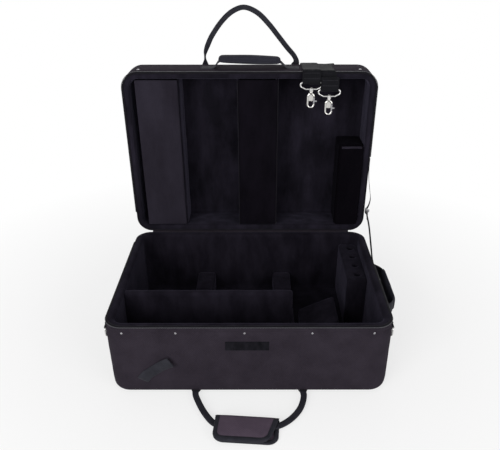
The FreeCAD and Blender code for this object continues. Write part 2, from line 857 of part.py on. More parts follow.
def padded_handle(name, foot, tail, half_length, rise, place):
    """The strap lies flat at both ends and rises to run through the pad."""
    thin = "pad_strap_thickness / 2"
    side = ((f"{foot} + {tail}", thin), (foot, thin), (f"{half_length} + pad_shoulder", rise))
    right = [(value(x), value(y)) for x, y in side]
    points = [(-x, y) for x, y in right] + right[::-1]
    bend = value("pad_strap_bend")
    strap = strip(points, bend, value("pad_strap_thickness"), value("pad_strap_width"))
    gap = "2 * pad_slot_gap"
    slot = Part.makeBox(value(f"2 * {half_length} + 2 * pad_shoulder"), value(f"pad_strap_thickness + {gap}"),
                        value(f"pad_strap_width + {gap}"))
    slot_size = slot.BoundBox
    slot.translate(Vector(-slot_size.XMax / 2, value(rise) - slot_size.YMax / 2, -slot_size.ZMax / 2))
    long, thick, wide = value(f"2 * {half_length}"), value("pad_thickness"), value("pad_width")
    plan = Part.makeBox(long, thick, wide, Vector(-long / 2, -thick / 2, -wide / 2))
    plan = round_corners(plan, value("pad_round"), lambda edge: abs(edge.tangentAt(0).y) > 1 - TOUCH)
    sleeve = plan.common(crowned(long, thick, value("pad_crown"), wide))
    sleeve.translate(Vector(0, value(rise), 0))
    sleeve = sleeve.cut(slot)
    keep(name + "_strap", made(name + "_strap", strap, place))
    keep(name + "_pad", made(name + "_pad", sleeve, place))


LID_PAD_Y = f"({LID_FRONT} + {LID_BACK}) / 2 - lid_pad_shift"
padded_handle("lid_handle", "lid_pad_foot", "lid_pad_tail", "lid_pad_half_length", "lid_pad_rise",
              Placement(at("0", LID_PAD_Y, LID_TOP), IN_FRONT_PLANE))
padded_handle("end_handle", "end_pad_foot", "end_pad_tail", "end_pad_half_length", "end_pad_rise",
              Placement(at(HALF_X, "0", "end_pad_level"), IN_FLOOR_PLANE_OUT_RIGHT))


# Dome nails


def nail(place):
    """A shallow dome with its flat side on the cover."""
    radius, rise = value("nail_radius"), value("nail_rise")
    ball = (radius * radius + rise * rise) / (2 * rise)
    top, side = Vector(0, 0, rise), Vector(radius, 0, 0)
    slant = math.asin(radius / ball) / 2
    middle = Vector(ball * math.sin(slant), 0, rise - ball * (1 - math.cos(slant)))
    outline = [Part.Arc(top, middle, side).toShape(), Part.LineSegment(side, Vector()).toShape(),
               Part.LineSegment(Vector(), top).toShape()]
    solid = Part.Face(Part.Wire(outline)).revolve(Vector(), Z_WAY, 360)
    solid.Placement = place
    return solid


base_nails = []
for share in BASE_NAIL_SHARES:
    spot = at(f"{share} * case_length", f"-{HALF_Y}", "base_nail_height")
    base_nails.append(nail(Placement(spot, UP_ON_BACK)))
keep("base_nails", made("base_nails", Part.makeCompound(base_nails)))

lid_nails = []
for share in LID_NAIL_SHARES:
    spot = at(f"{share} * case_length", f"{LID_FRONT} + lid_nail_from_rim", LID_TOP)
    lid_nails.append(nail(Placement(spot, Rotation())))
keep("lid_nails", made("lid_nails", Part.makeCompound(lid_nails)))


# Bare patch and loose webbing tab on the front

patch = new_body("front_patch")
patch.Placement = Placement(Vector(), UP_ON_BACK)
bind(patch, {"Placement.Base.y": f"-{HALF_Y}", "Placement.Base.z": "patch_level"})
sketch = new_sketch(patch)
rounded_outline(sketch, "patch_length / 2", "patch_height / 2", "patch_round")
pad(patch, sketch, "patch_thickness")
keep("front_patch", patch)

# The tab is sewn flat for two thirds of its length, and its upper end curls off the cover.
tab_long, tab_thin = value("front_tab_length"), value("front_tab_thickness")
tab_path = [(0, tab_thin / 2), (tab_long * FRONT_TAB_SEWN_SHARE, tab_thin / 2),
            (tab_long, tab_thin / 2 + value("front_tab_lift"))]
tab = strip(tab_path, tab_long / 3, tab_thin, value("front_tab_width"))
turned = Rotation(Vector(0, 1, 0), -FRONT_TAB_ANGLE)
tab_frame = Rotation(Vector(1, 0, 0), Vector(0, -1, 0), Vector(0, 0, -1), "XYZ")
tab_spot = at("-front_tab_from_middle", f"-{HALF_Y}", "front_tab_level")
keep("front_tab", made("front_tab", tab, Placement(tab_spot, turned.multiply(tab_frame))))


# Padding and blocks inside the base, shaped to the lining's own hollow


def hollow(name, top, place=None, gap="0"):
    """The free room inside a lining, to shape the fitted blocks by."""
    body = new_body(name, place)
    sketch = new_sketch(body, WALL)
    tray_outline(sketch, f"{WALL} + {gap}")
    pad(body, sketch, f"{top} - {WALL}")
    round_edges(body, WALL, "inner_edge_radius")
    return body


def fitted(name, block, room):
    result = doc.addObject("Part::Common", name)
    result.Base = block
    result.Tool = room
    return keep(name, result)


def middles(low, size):
    """Middle of a span from its low end and its size."""
    return f"({low}) + ({size}) / 2"


FLOOR = WALL
INNER_Y = f"({HALF_Y} - {WALL})"
INNER_X = f"({HALF_X} - {WALL})"
DIVIDER_FRONT = f"(divider_from_front - {HALF_Y})"
DIVIDER_BACK = f"(divider_from_front + divider_thickness - {HALF_Y})"

divider_height = f"{BASE_RIM} - divider_drop - {FLOOR}"
divider = rounded_block(
    "divider_block", ("divider_length", "divider_thickness", divider_height),
    (middles(f"-{INNER_X}", "divider_length"), middles(DIVIDER_FRONT, "divider_thickness"),
     middles(FLOOR, divider_height)), "divider_round")
fitted("center_divider", divider, hollow("divider_room", BASE_RIM))


def saddles(name, shares, low_y, high_y):
    """Padded supports with a round hollow on top, across one bay."""
    blocks = []
    for share in shares:
        middle_x = f"{share} * case_length"
        depth = f"({high_y} - {low_y})"
        block = rounded_block(name + "_block", ("saddle_length", depth, "saddle_height"),
                              (middle_x, middles(low_y, depth), middles(FLOOR, "saddle_height")),
                              "saddle_round")
        round_tool = doc.addObject("Part::Cylinder", name + "_hollow")
        lift = f"{FLOOR} + saddle_height - saddle_hollow_depth + saddle_hollow_radius"
        round_tool.Placement = Placement(Vector(), Rotation(Y_WAY, 90))
        bind(round_tool, {"Radius": "saddle_hollow_radius", "Height": "saddle_length * 2",
                          "Placement.Base.x": f"{middle_x} - saddle_length",
                          "Placement.Base.y": middles(low_y, depth), "Placement.Base.z": lift})
        blocks.append(cut(name + "_saddle", block, round_tool))
    fitted(name, group(name + "_pair", blocks), hollow(name + "_room", BASE_RIM))


saddles("trumpet_saddles", SADDLE_SHARES, f"(-{INNER_Y})", DIVIDER_FRONT)
saddles("flugelhorn_saddles", FLUGELHORN_SADDLE_SHARES, DIVIDER_BACK, INNER_Y)

# The bell rest slopes down towards the middle of the case.
rest = new_body("bell_rest")
rest.Placement = Placement(Vector(), UP_ON_BACK)
bind(rest, {"Placement.Base.y": f"{DIVIDER_BACK} + bell_rest_width - bell_rest_gap",
            "Placement.Base.z": FLOOR})
sketch = new_sketch(rest)
near, far = "bell_rest_from_middle", "bell_rest_from_middle + bell_rest_length"
polygon(sketch, [(near, "0"), (far, "0"), (far, "bell_rest_height"), (near, "bell_rest_low")])
pad(rest, sketch, "bell_rest_width")
low_side = value("bell_rest_low") - TOUCH
sloped = rest.Tip
rounding = rest.newObject("PartDesign::Fillet", "bell_rest_round")
rounding.Base = (sloped, [f"Edge{index}" for index, edge in enumerate(sloped.Shape.Edges, 1)
                          if all(vertex.Point.y > low_side for vertex in edge.Vertexes)])
bind(rounding, {"Radius": "saddle_round"})
keep("bell_rest", rest)

# The mouthpiece holes go right through an upper block, and a plain block under it closes them.
BORE_FLOOR = f"({BASE_RIM} - mouthpiece_block_drop - mouthpiece_bore_depth)"
BLOCK_MIDDLE = (f"{INNER_X} - mouthpiece_block_width / 2", f"{INNER_Y} - mouthpiece_block_length / 2")
BLOCK_PLAN = ("mouthpiece_block_width", "mouthpiece_block_length")


def in_base(name, block):
    """The part of a block that lies inside the base's rounded hollow."""
    inside = doc.addObject("Part::Common", name)
    inside.Base = block
    inside.Tool = base_room
    return inside


base_room = hollow("mouthpiece_room", BASE_RIM)
bored = rounded_block(
    "mouthpiece_cushion", (*BLOCK_PLAN, "mouthpiece_bore_depth"),
    (*BLOCK_MIDDLE, middles(BORE_FLOOR, "mouthpiece_bore_depth")), "mouthpiece_block_round")
bores = []
for step in BORE_STEP_SHARES:
    bore = doc.addObject("Part::Cylinder", "mouthpiece_bore")
    bind(bore, {"Radius": "mouthpiece_bore_radius", "Height": "mouthpiece_bore_depth * 2",
                "Placement.Base.x": f"{BLOCK_MIDDLE[0]} + mouthpiece_bore_shift",
                "Placement.Base.y": f"{BLOCK_MIDDLE[1]} + {step} * mouthpiece_pitch",
                "Placement.Base.z": f"{BORE_FLOOR} - mouthpiece_bore_depth / 2"})
    bores.append(bore)
plain = box(*BLOCK_PLAN, f"{BORE_FLOOR} - {FLOOR}",
            (f"{INNER_X} - mouthpiece_block_width", f"{INNER_Y} - mouthpiece_block_length", FLOOR))
keep("mouthpiece_block", group("mouthpiece_block", [
    in_base("mouthpiece_upper", cut("mouthpiece_pad", bored, group("mouthpiece_bores", bores))),
    in_base("mouthpiece_lower", plain)]))


# Rings on the end walls, each hanging in a folded webbing tab


def wire_loop(points, radii, bar):
    """A closed ring of round wire along a rounded outline in its own XY plane."""
    middle = (points[0] + points[-1]) / 2
    lengths = []
    for edge in rounded_path([middle] + list(points) + [middle], [0] + list(radii) + [0]):
        start, end = edge.valueAt(edge.FirstParameter), edge.valueAt(edge.LastParameter)
        disc = Part.Face(Part.Wire(Part.Circle(start, edge.tangentAt(edge.FirstParameter), bar).toShape()))
        if isinstance(edge.Curve, Part.Circle):
            turn = math.degrees(edge.LastParameter - edge.FirstParameter)
            lengths.append(disc.revolve(edge.Curve.Center, edge.Curve.Axis, turn))
        else:
            lengths.append(disc.extrude(end - start))
    return lengths[0].fuse(lengths[1:]).removeSplitter()


def ring(name, side):
    """A wire ring with a straight bar on top and a rounder foot."""
    half, bar = value("(ring_width - 2 * ring_wire_radius) / 2"), value("ring_wire_radius")
    drop, corner = value("ring_drop - 2 * ring_wire_radius"), value("ring_corner")
    shoulder = corner * RING_SHOULDER_SHARE
    points = [Vector(half, 0, 0), Vector(half, -drop, 0), Vector(-half, -drop, 0), Vector(-half, 0, 0)]
    solid = wire_loop(points, [shoulder, corner, corner, shoulder], bar)
    return keep(name, made(name, solid, Placement(ring_place(side), IN_SIDE_PLANE)))


RING_OUT = "(ring_tab_thickness + ring_play + ring_wire_radius)"
RING_LEVEL = f"({BASE_RIM} - tape_top_gap - tape_width - ring_tab_length - ring_tab_below)"


def ring_place(side):
    return at(f"{side} * ({HALF_X} + {RING_OUT})", f"ring_from_front - {HALF_Y}", RING_LEVEL)


def ring_tab(name, side):
    """Webbing sewn on the wall, round the ring's bar and back up over itself."""
    thin = value("ring_tab_thickness")
    fold = value("ring_wire_radius + ring_play + ring_tab_thickness / 2")
    out = value(RING_OUT)
    top = value("ring_tab_length")
    upper = thin + value("fit_gap") + thin / 2
    path = [(thin / 2, top), (thin / 2, -fold), (out + fold, -fold), (out + fold, thin),
            (upper, value("ring_tab_fold")), (upper, top)]
    solid = strip(path, [0, fold, fold, thin, thin, 0], thin, value("ring_tab_width"))
    face = Rotation(X_WAY, Z_WAY, -Y_WAY, "XYZ") if side > 0 else Rotation(-X_WAY, Z_WAY, Y_WAY, "XYZ")
    place = at(f"{side} * {HALF_X}", f"ring_from_front - {HALF_Y}", RING_LEVEL)
    keep(name, made(name, solid, Placement(place, face)))


for side, word in ((-1, "left"), (1, "right")):
    ring_tab(word + "_ring_tab", side)
    ring(word + "_ring", side)


# Fabric hinge: a bead in the corner between base and lid, with a tape on each

HINGE_LENGTH = "(case_length - 2 * corner_radius)"
bead = doc.addObject("Part::Cylinder", "hinge_piping")
bead.Placement = Placement(Vector(), Rotation(Y_WAY, 90))
bind(bead, {"Radius": "hinge_offset - hinge_bead_gap", "Height": HINGE_LENGTH,
            "Placement.Base.x": f"-{HINGE_LENGTH} / 2", "Placement.Base.y": f"{HALF_Y} + hinge_offset",
            "Placement.Base.z": "base_height"})
keep("hinge_piping", bead)
keep("hinge_tape_base", box(HINGE_LENGTH, "hinge_tape_thickness", "hinge_tape_width - hinge_offset", (
    f"-{HINGE_LENGTH} / 2", HALF_Y, "base_height - hinge_tape_width")))
keep("hinge_tape_lid", box(HINGE_LENGTH, "hinge_tape_width - hinge_offset", "hinge_tape_thickness", (
    f"-{HINGE_LENGTH} / 2", f"{HALF_Y} + 2 * hinge_offset",
    "base_height + hinge_offset - hinge_tape_thickness")))


# The end of the zip at the right, off the walls and joined at the parked slider

SLIDER_X = f"({HALF_X} + slider_out)"
SLIDER_Y = f"({HALF_Y} + slider_back)"
SLIDER_Z = "(base_height + slider_rise)"


def ribbon(stations, way):
    """A narrow tape lofted through upright or level sections."""
    wires = [section(Vector(*place), value("end_tape_width"), value("end_tape_thickness"), way, X_WAY)
             for place in stations]
    return Part.makeLoft(wires, True, False)


slider_x, slider_y, slider_z = value(SLIDER_X), value(SLIDER_Y), value(SLIDER_Z)
wall_x = value(f"{HALF_X} + end_tape_thickness / 2")
start_y = value(f"{HALF_Y} - zip_free_right_base")
start_z = value(f"{BASE_RIM} - tape_top_gap - tape_width / 2")
end_y = value(f"{SLIDER_Y} - slider_width / 2")
base_end = []
for share, out, rise in BASE_END_SHARES:
    base_end.append((wall_x + (slider_x - wall_x) * out, start_y + (end_y - start_y) * share,
                     start_z + (slider_z - start_z) * rise))
keep("zipper_end_base", made("zipper_end_base", ribbon(base_end, Z_WAY)))

lid_y = value(f"{LID_FRONT} + tape_top_gap + tape_width / 2")
top_z = value(f"{LID_TOP} - case_depth + zip_free_right_lid")
low_z = value(f"{SLIDER_Z} + slider_length / 2")
bulge = value("end_tape_bulge")
lid_end = []
for share, out, joined_up in LID_END_SHARES:
    lid_end.append((wall_x + bulge * out + (slider_x - wall_x) * joined_up,
                    lid_y + (slider_y - lid_y) * share, top_z + (low_z - top_z) * share))
keep("zipper_end_lid", made("zipper_end_lid", ribbon(lid_end, Y_WAY)))

slider = rounded_block("slider_block", ("slider_thickness", "slider_width", "slider_length"),
                       (SLIDER_X, SLIDER_Y, SLIDER_Z), "slider_round", ">X")
bridge_x = f"{SLIDER_X} + slider_thickness / 2"
bridge = []
for z in ("pull_bridge / 2 - pull_pin_radius", "-pull_bridge / 2 - pull_pin_radius"):
    bridge.append(box("pull_bridge", "2 * pull_pin_radius", "2 * pull_pin_radius",
                      (bridge_x, f"{SLIDER_Y} - pull_pin_radius", f"{SLIDER_Z} + {z}")))
bridge.append(box("2 * pull_pin_radius", "2 * pull_pin_radius", "pull_bridge + 2 * pull_pin_radius",
                  (f"{bridge_x} + pull_bridge - 2 * pull_pin_radius", f"{SLIDER_Y} - pull_pin_radius",
                   f"{SLIDER_Z} - pull_bridge / 2 - pull_pin_radius")))
joined = doc.addObject("Part::MultiFuse", "zipper_slider")
joined.Shapes = [slider] + bridge
keep("zipper_slider", joined)


def flat_piece(name, outline, holes, thickness, place):
    """A flat plate from bound outlines, each a list of points."""
    body = new_body(name)
    body.Placement = place
    sketch = new_sketch(body)
    for points in [outline] + holes:
        polygon(sketch, points)
    pad(body, sketch, thickness)
    return body


# The pull hangs from the bridge, its upper bar inside the bridge and the bridge through its eye.
half_wide = "pull_width / 2"
half_eye = "pull_eye_width / 2"
eye_low = "(-pull_eye_bar / 2 - pull_eye_length)"
pull = flat_piece(
    "zipper_pull",
    [(f"-{half_wide}", "pull_eye_bar / 2 - pull_length"), (half_wide, "pull_eye_bar / 2 - pull_length"),
     (half_wide, "pull_eye_bar / 2"), (f"-{half_wide}", "pull_eye_bar / 2")],
    [[(f"-{half_eye}", eye_low), (half_eye, eye_low),
      (half_eye, "-pull_eye_bar / 2"), (f"-{half_eye}", "-pull_eye_bar / 2")]],
    "pull_thickness", Placement(Vector(), IN_SIDE_PLANE))
bind(pull, {"Placement.Base.x": f"{bridge_x} + pull_bridge / 2 - pull_pin_radius - pull_thickness / 2",
            "Placement.Base.y": SLIDER_Y, "Placement.Base.z": SLIDER_Z})
keep("zipper_pull", pull)


# Inside the lid: three partitions, two hinged covers and the accessory box with its own lid

lid_room = hollow("lid_room", LID_RIM, LID_PLACE)
COVER_FRONT = f"({LID_FRONT} + cover_sink)"
COVER_BACK = f"({COVER_FRONT} + cover_thickness + fit_gap)"
LID_FLOOR_Y = f"({LID_BACK} - {WALL})"
LID_ROOM_LOW = f"({LID_LOW} + {WALL})"
LID_ROOM_HIGH = f"({LID_TOP} - {WALL})"


def partition(from_middle):
    depth = f"({LID_FLOOR_Y} - {COVER_BACK})"
    return box("partition_thickness", depth, f"{LID_ROOM_HIGH} - {LID_ROOM_LOW}",
               (from_middle, COVER_BACK, LID_ROOM_LOW))


LEFT_HINGE = "-left_cover_from_middle"
MIDDLE_HINGE = "middle_cover_from_middle"
walls = [partition(f"{LEFT_HINGE} - partition_thickness / 2"),
         partition(f"{MIDDLE_HINGE} - middle_cover_length"),
         partition(f"{MIDDLE_HINGE} - partition_thickness")]
fitted("lid_partitions", group("partition_group", walls), lid_room)


def cover(name, hinge_x, length):
    """A padded cover that turns on its right edge."""
    height = f"({LID_ROOM_HIGH} - {LID_ROOM_LOW} - 2 * cover_end_gap)"
    board = rounded_block(name + "_board", (length, "cover_thickness", height),
                          (f"{hinge_x} - {length} / 2", middles(COVER_FRONT, "cover_thickness"),
                           f"({LID_ROOM_HIGH} + {LID_ROOM_LOW}) / 2"), "cover_edge_round", "<Y")
    fitted(name, board, hollow(name + "_room", LID_RIM, LID_PLACE, "cover_end_gap"))


cover("left_cover", LEFT_HINGE, "left_cover_length")
cover("middle_cover", MIDDLE_HINGE, "middle_cover_length")

BOX_LEFT = f"({INNER_X} - accessory_box_width)"
BOX_FRONT = f"({LID_FRONT} + cover_sink / 2)"
BOX_BACK = f"({BOX_FRONT} + accessory_lid_thickness + fit_gap)"
shell = box("accessory_box_width", f"{LID_FLOOR_Y} - {BOX_BACK}", "accessory_box_height",
            (BOX_LEFT, BOX_BACK, LID_ROOM_LOW))
inside_low = (f"{BOX_LEFT} + accessory_wall", f"{BOX_BACK} - accessory_wall",
              f"{LID_ROOM_LOW} + accessory_wall")
inside = box("accessory_box_width - 2 * accessory_wall", f"{LID_FLOOR_Y} - {BOX_BACK}",
             "accessory_box_height - 2 * accessory_wall", inside_low)
fitted("accessory_box", cut("accessory_shell", shell, inside), hollow("box_room", LID_RIM, LID_PLACE))
lid_size = ("accessory_box_width - 2 * cover_end_gap", "accessory_lid_thickness",
            "accessory_box_height - 2 * cover_end_gap")
lid_block = rounded_block(
    "accessory_lid_block", lid_size,
    (f"{BOX_LEFT} + accessory_box_width / 2", middles(BOX_FRONT, "accessory_lid_thickness"),
     f"{LID_ROOM_LOW} + accessory_box_height / 2"), "accessory_lid_round", "<Y")
fitted("accessory_box_lid", lid_block, hollow("box_lid_room", LID_RIM, LID_PLACE, "cover_end_gap"))


# Shoulder strap: webbing over the lid's edge, a hook at each end and a pad behind the lid

BAR_Y = f"({LID_FRONT} - hook_face_gap)"
WEB_FOLD = value("frame_bar / 2 + ring_play + strap_thickness / 2")
STRAP_LEFT = "strap_left_middle"
STRAP_RIGHT = "(strap_left_middle + strap_pitch)"
thin = value("strap_thickness")
bar_y = value(BAR_Y)
front_run = bar_y + WEB_FOLD
back_run = value(f"{LID_BACK} + strap_face_gap + strap_thickness / 2")
over_rim = value(f"{LID_TOP} + tape_thickness + coil_thickness + strap_face_gap + strap_thickness / 2")
over_top = value(f"{LID_TOP} + strap_rim_lift / 2 + strap_thickness / 2")
corner = value("edge_radius + strap_face_gap + strap_thickness / 2")
leave_back = value("strap_level_back")
behind_zip = value(f"{LID_FRONT} + tape_width * 2")


def strap_front(bar_level, middle, turns):
    """The folded end round a frame's bar, up and over the lid, then down its outer face."""
    tail = bar_level + value("strap_tail")
    path = [(bar_y - WEB_FOLD, tail), (bar_y - WEB_FOLD, bar_level - WEB_FOLD),
            (front_run, bar_level - WEB_FOLD), (front_run, over_rim), (behind_zip, over_rim),
            (behind_zip + value("strap_ramp"), over_top), (back_run, over_top)]
    bend = value("strap_bend")
    radii = [0, WEB_FOLD, WEB_FOLD, thin, bend, bend, corner]
    for y, z in turns:
        path.append((y, z))
        radii.append(thin)
    solid = strip(path, radii, thin, value("strap_width"))
    solid.Placement = Placement(Vector(middle, 0, 0), IN_SIDE_PLANE)
    return solid, path[-1]


def strap_back(x, y, z, end_x, end_y, end_z):
    """The strap's run down to the pad, drawing in sideways."""
    wide = value("strap_width")
    wires = [section(Vector(x, y, z), wide, thin, X_WAY, Y_WAY),
             section(Vector(end_x, end_y, end_z), wide, thin, X_WAY, Y_WAY)]
    return Part.makeLoft(wires, True, True)


pad_x = value("strap_left_middle + strap_pitch / 2")
pad_top = value(f"{LID_TOP} - strap_back_run")
near_leaf = value(f"{LID_BACK} + strap_face_gap * 2 + strap_pad_thickness / 2")
far_leaf = near_leaf + value("strap_pad_thickness + strap_pad_gap")
left_x, right_x = value(STRAP_LEFT), value(STRAP_RIGHT)
left_bar = value(f"{LID_TOP} - strap_left_drop")
right_bar = value(f"{LID_TOP} - strap_right_drop")

# The right run passes over the middle bar of the length adjuster.
buckle_z, half_high = value("buckle_level"), value("buckle_height / 2")
buckle_y = value(f"{LID_BACK} + 2 * strap_face_gap + strap_thickness")
bump = buckle_y + value("buckle_thickness + strap_face_gap + strap_thickness / 2")
rise = value("buckle_height / 2 - buckle_bar")
dip, bump_half = value("buckle_dip"), value("buckle_bump_half")
turns = [(back_run, buckle_z + rise - dip), (bump, buckle_z + bump_half), (bump, buckle_z - bump_half),
         (back_run, buckle_z - rise + dip), (back_run, buckle_z - half_high - value("buckle_run"))]
left_front, left_end = strap_front(left_bar, left_x, [(back_run, leave_back)])
right_front, right_end = strap_front(right_bar, right_x, turns)
runs = [
    left_front.fuse(strap_back(left_x, *left_end, pad_x, near_leaf, pad_top)).removeSplitter(),
    right_front.fuse(strap_back(right_x, *right_end, pad_x, far_leaf, pad_top)).removeSplitter(),
]
keep("strap_webbing", made("strap_webbing", Part.makeCompound(runs)))

pad_low = pad_top - value("strap_pad_height")
fold = (far_leaf - near_leaf) / 2
pad_path = [(near_leaf, pad_top), (near_leaf, pad_low), (far_leaf, pad_low), (far_leaf, pad_top)]
cushion = strip(pad_path, fold, value("strap_pad_thickness"), value("strap_pad_width"))
keep("strap_pad", made("strap_pad", cushion, Placement(Vector(pad_x, 0, 0), IN_SIDE_PLANE)))

half_long = "buckle_length / 2"
half_tall = "buckle_height / 2"
slot_half = "strap_width / 2 + fit_gap * 2"
bars = []
upper_slot = ("buckle_bar / 2", f"{half_tall} - buckle_bar")
lower_slot = (f"buckle_bar - {half_tall}", "-buckle_bar / 2")
for low, high in (upper_slot, lower_slot):
    bars.append([(f"-({slot_half})", low), (slot_half, low), (slot_half, high), (f"-({slot_half})", high)])
buckle = flat_piece("strap_buckle",
                    [(f"-{half_long}", f"-{half_tall}"), (half_long, f"-{half_tall}"),
                     (half_long, half_tall), (f"-{half_long}", half_tall)],
                    bars, "buckle_thickness", Placement(Vector(), UP_ON_BACK))
bind(buckle, {"Placement.Base.x": STRAP_RIGHT, "Placement.Base.z": "buckle_level",
              "Placement.Base.y": f"{LID_BACK} + 2 * strap_face_gap + strap_thickness + buckle_thickness"})
keep("strap_buckle", buckle)


# Swivel hooks


def hook_frame(name, middle, bar_level):
    """A wire frame, sloped in to a drilled boss under its lower bar."""
    half, bar = value("(frame_length - frame_bar) / 2"), value("frame_bar / 2")
    drop, turn = value("frame_height - frame_bar"), value("frame_corner")
    neck, side = value("frame_neck"), value("frame_side")
    right = [Vector(half, 0, 0), Vector(half, -side, 0), Vector(neck, -drop, 0)]
    left = [Vector(-point.x, point.y, 0) for point in reversed(right)]
    loop = wire_loop(right + left, [turn] * len(right + left), bar)
    low = -drop - bar - value("boss_height - frame_bar - boss_lift")
    boss = Part.makeCylinder(value("boss_radius"), value("boss_height"), Vector(0, low, 0), Y_WAY)
    hole_start = Vector(0, low - value("boss_height / 2"), 0)
    hole = Part.makeCylinder(value("post_radius + post_gap"), value("2 * boss_height"), hole_start, Y_WAY)
    solid = loop.fuse(boss).cut(hole).removeSplitter()
    keep(name, made(name, solid, Placement(Vector(middle, bar_y, bar_level), IN_FRONT_PLANE)))
    return bar_level + low


def hook(word, middle, bar_level):
    """A C-shaped hook on a swivel post, with a sprung gate across its mouth."""
    under = hook_frame("hook_frame_" + word, middle, bar_level)
    gap, post = value("post_gap"), value("post_radius")
    collar_r, collar_h = value("collar_radius"), value("collar_height")
    long, wide, bar = value("hook_length"), value("hook_width"), value("hook_bar")
    thick = value("hook_thickness")
    shank = Part.makeCylinder(post, value("boss_height") + gap * 2 + collar_h, Vector(0, -collar_h, 0), Y_WAY)
    head_start = Vector(0, value("boss_height") + gap * 2, 0)
    head = Part.makeCylinder(value("post_head_radius"), value("post_head"), head_start, Y_WAY)
    collar = Part.makeCylinder(collar_r, collar_h, Vector(0, -collar_h, 0), Y_WAY)
    middle_y = -collar_h - long / 2
    outer = Part.makeBox(wide, long, thick, Vector(-wide / 2, middle_y - long / 2, -thick / 2))
    shy = value("round_shy")
    outer = round_corners(outer, wide / 2 - shy, lambda edge: edge.BoundBox.ZLength > thick / 2)
    room_start = Vector(bar - wide / 2, middle_y - long / 2 + bar, -thick)
    room = Part.makeBox(wide - 2 * bar, long - 2 * bar, thick * 2, room_start)
    room = round_corners(room, wide / 2 - bar - shy, lambda edge: edge.BoundBox.ZLength > thick)
    gate_long, gate_wide = value("gate_length"), value("gate_width")
    mouth_high = middle_y + long / 2 - wide / 2
    mouth_low = mouth_high - gate_long
    mouth = Part.makeBox(wide, gate_long, thick * 2, Vector(wide / 2 - bar - gap, mouth_low, -thick))
    body = outer.cut(room).cut(mouth).fuse([shank, head, collar]).removeSplitter()
    place = Placement(Vector(middle, bar_y, under - gap), IN_FRONT_PLANE)
    keep("hook_" + word, made("hook_" + word, body, place))
    play = value("fit_gap")
    side = wide / 2 - bar / 2
    deep = value("gate_thickness")
    turn = mouth_low + play + gate_wide / 2
    eye = Part.makeCylinder(gate_wide / 2, deep, Vector(side, turn, -deep / 2), Z_WAY)
    arm_low = Vector(side - gate_wide / 2, turn, -deep / 2)
    arm = Part.makeBox(gate_wide, mouth_high - play - turn, deep, arm_low)
    lever_low = Vector(side + gate_wide / 2 - play, mouth_low + gate_long * LEVER_SHARE, -deep / 2)
    lever = Part.makeBox(value("gate_lever"), gate_wide, deep, lever_low)
    gate = arm.fuse([eye, lever]).removeSplitter()
    keep("gate_" + word, made("gate_" + word, gate, place))


hook("a", left_x, left_bar)
hook("b", right_x, right_bar)

doc.recompute()
os.makedirs("parts", exist_ok=True)
for thing in doc.Objects:
    if "Invalid" in thing.State or "Error" in thing.State:
        raise RuntimeError(f"{thing.Label} did not build: {thing.State}")
for name, thing in parts.items():
    shape = thing.Shape
    if shape.isNull() or not shape.isValid():
        raise RuntimeError(f"{name} has no sound shape")
for name, thing in parts.items():
    thing.Shape.exportStep(f"parts/{name}.step")
    print(name, len(thing.Shape.Solids), "solids,", round(thing.Shape.Volume), "mm3")
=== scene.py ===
# %% [markdown]
# # A soft trumpet case, built and finished piece by piece
# The real case is a box of stiff foam. Its outside is covered in ballistic nylon and its inside in black plush.
# A zip runs round three sides, and webbing, padded grips, rings and a shoulder strap hang on it.
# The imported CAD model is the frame: every piece here takes its place from it and rides on one of its bodies.

# %% Load the frame
import math

import bmesh
import bpy
from mathutils import Matrix, Vector, noise
from mathutils.bvhtree import BVHTree


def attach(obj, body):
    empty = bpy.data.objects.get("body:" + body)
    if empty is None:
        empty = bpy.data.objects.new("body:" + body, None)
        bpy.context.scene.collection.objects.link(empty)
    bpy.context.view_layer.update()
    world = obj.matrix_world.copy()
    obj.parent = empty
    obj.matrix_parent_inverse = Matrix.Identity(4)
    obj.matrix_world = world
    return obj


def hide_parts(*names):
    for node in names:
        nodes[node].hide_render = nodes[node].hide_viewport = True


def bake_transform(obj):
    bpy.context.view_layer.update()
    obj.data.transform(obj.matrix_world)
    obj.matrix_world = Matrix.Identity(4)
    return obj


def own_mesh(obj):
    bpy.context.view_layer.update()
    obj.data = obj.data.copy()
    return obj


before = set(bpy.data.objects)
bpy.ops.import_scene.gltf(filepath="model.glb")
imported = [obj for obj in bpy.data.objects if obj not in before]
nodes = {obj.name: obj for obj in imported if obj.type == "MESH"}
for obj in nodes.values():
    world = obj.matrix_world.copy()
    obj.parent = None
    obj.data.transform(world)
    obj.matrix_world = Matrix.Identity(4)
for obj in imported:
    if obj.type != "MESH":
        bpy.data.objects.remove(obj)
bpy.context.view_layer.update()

MM = 0.001

# %% [markdown]
# ## Sizes
# The case stands open. The base is a tray with its mouth up, and the lid is a shallower tray on edge behind it.
# Both have the same outline, so one set of numbers serves both. All of them are millimetres on the real case.
# Each half is told by its name, its height and whether it stands on edge. Both are drawn rim up, and one function
# then turns the lid's points to where they stand.

# %% Sizes of the case
LENGTH, DEPTH = 540, 372
BASE_TOP, LID_TALL = 163.5, 89.5
CORNER, FOOT, WALL, TRAY_FLOOR = 34, 14, 14, 14
LID_LOW, LID_BACK = 165.5, 277.5
HALVES = (("base", BASE_TOP, False), ("lid", LID_TALL, True))
WALL_WAY = {"base": (0, 0, 1), "lid": (0, 1, 0)}
print("the lid stands from", LID_LOW, "to", LID_LOW + DEPTH, "mm, and its back is at", LID_BACK)


def in_place(point, standing):
    """Takes a point drawn rim up to its place, which for the lid is on edge behind the base."""
    x, y, z = Vector(point)
    return Vector((x, LID_BACK - z, LID_LOW + DEPTH / 2 + y) if standing else (x, y, z))


# %% [markdown]
# ## Camera
# The photograph looks down at about 30 degrees from in front. The lens and the place were fitted to the corners
# of the case. A small shift keeps the case where it sits in the photograph.

# %% Camera
LOOK_DOWN, TILT = 29.94, 0.001


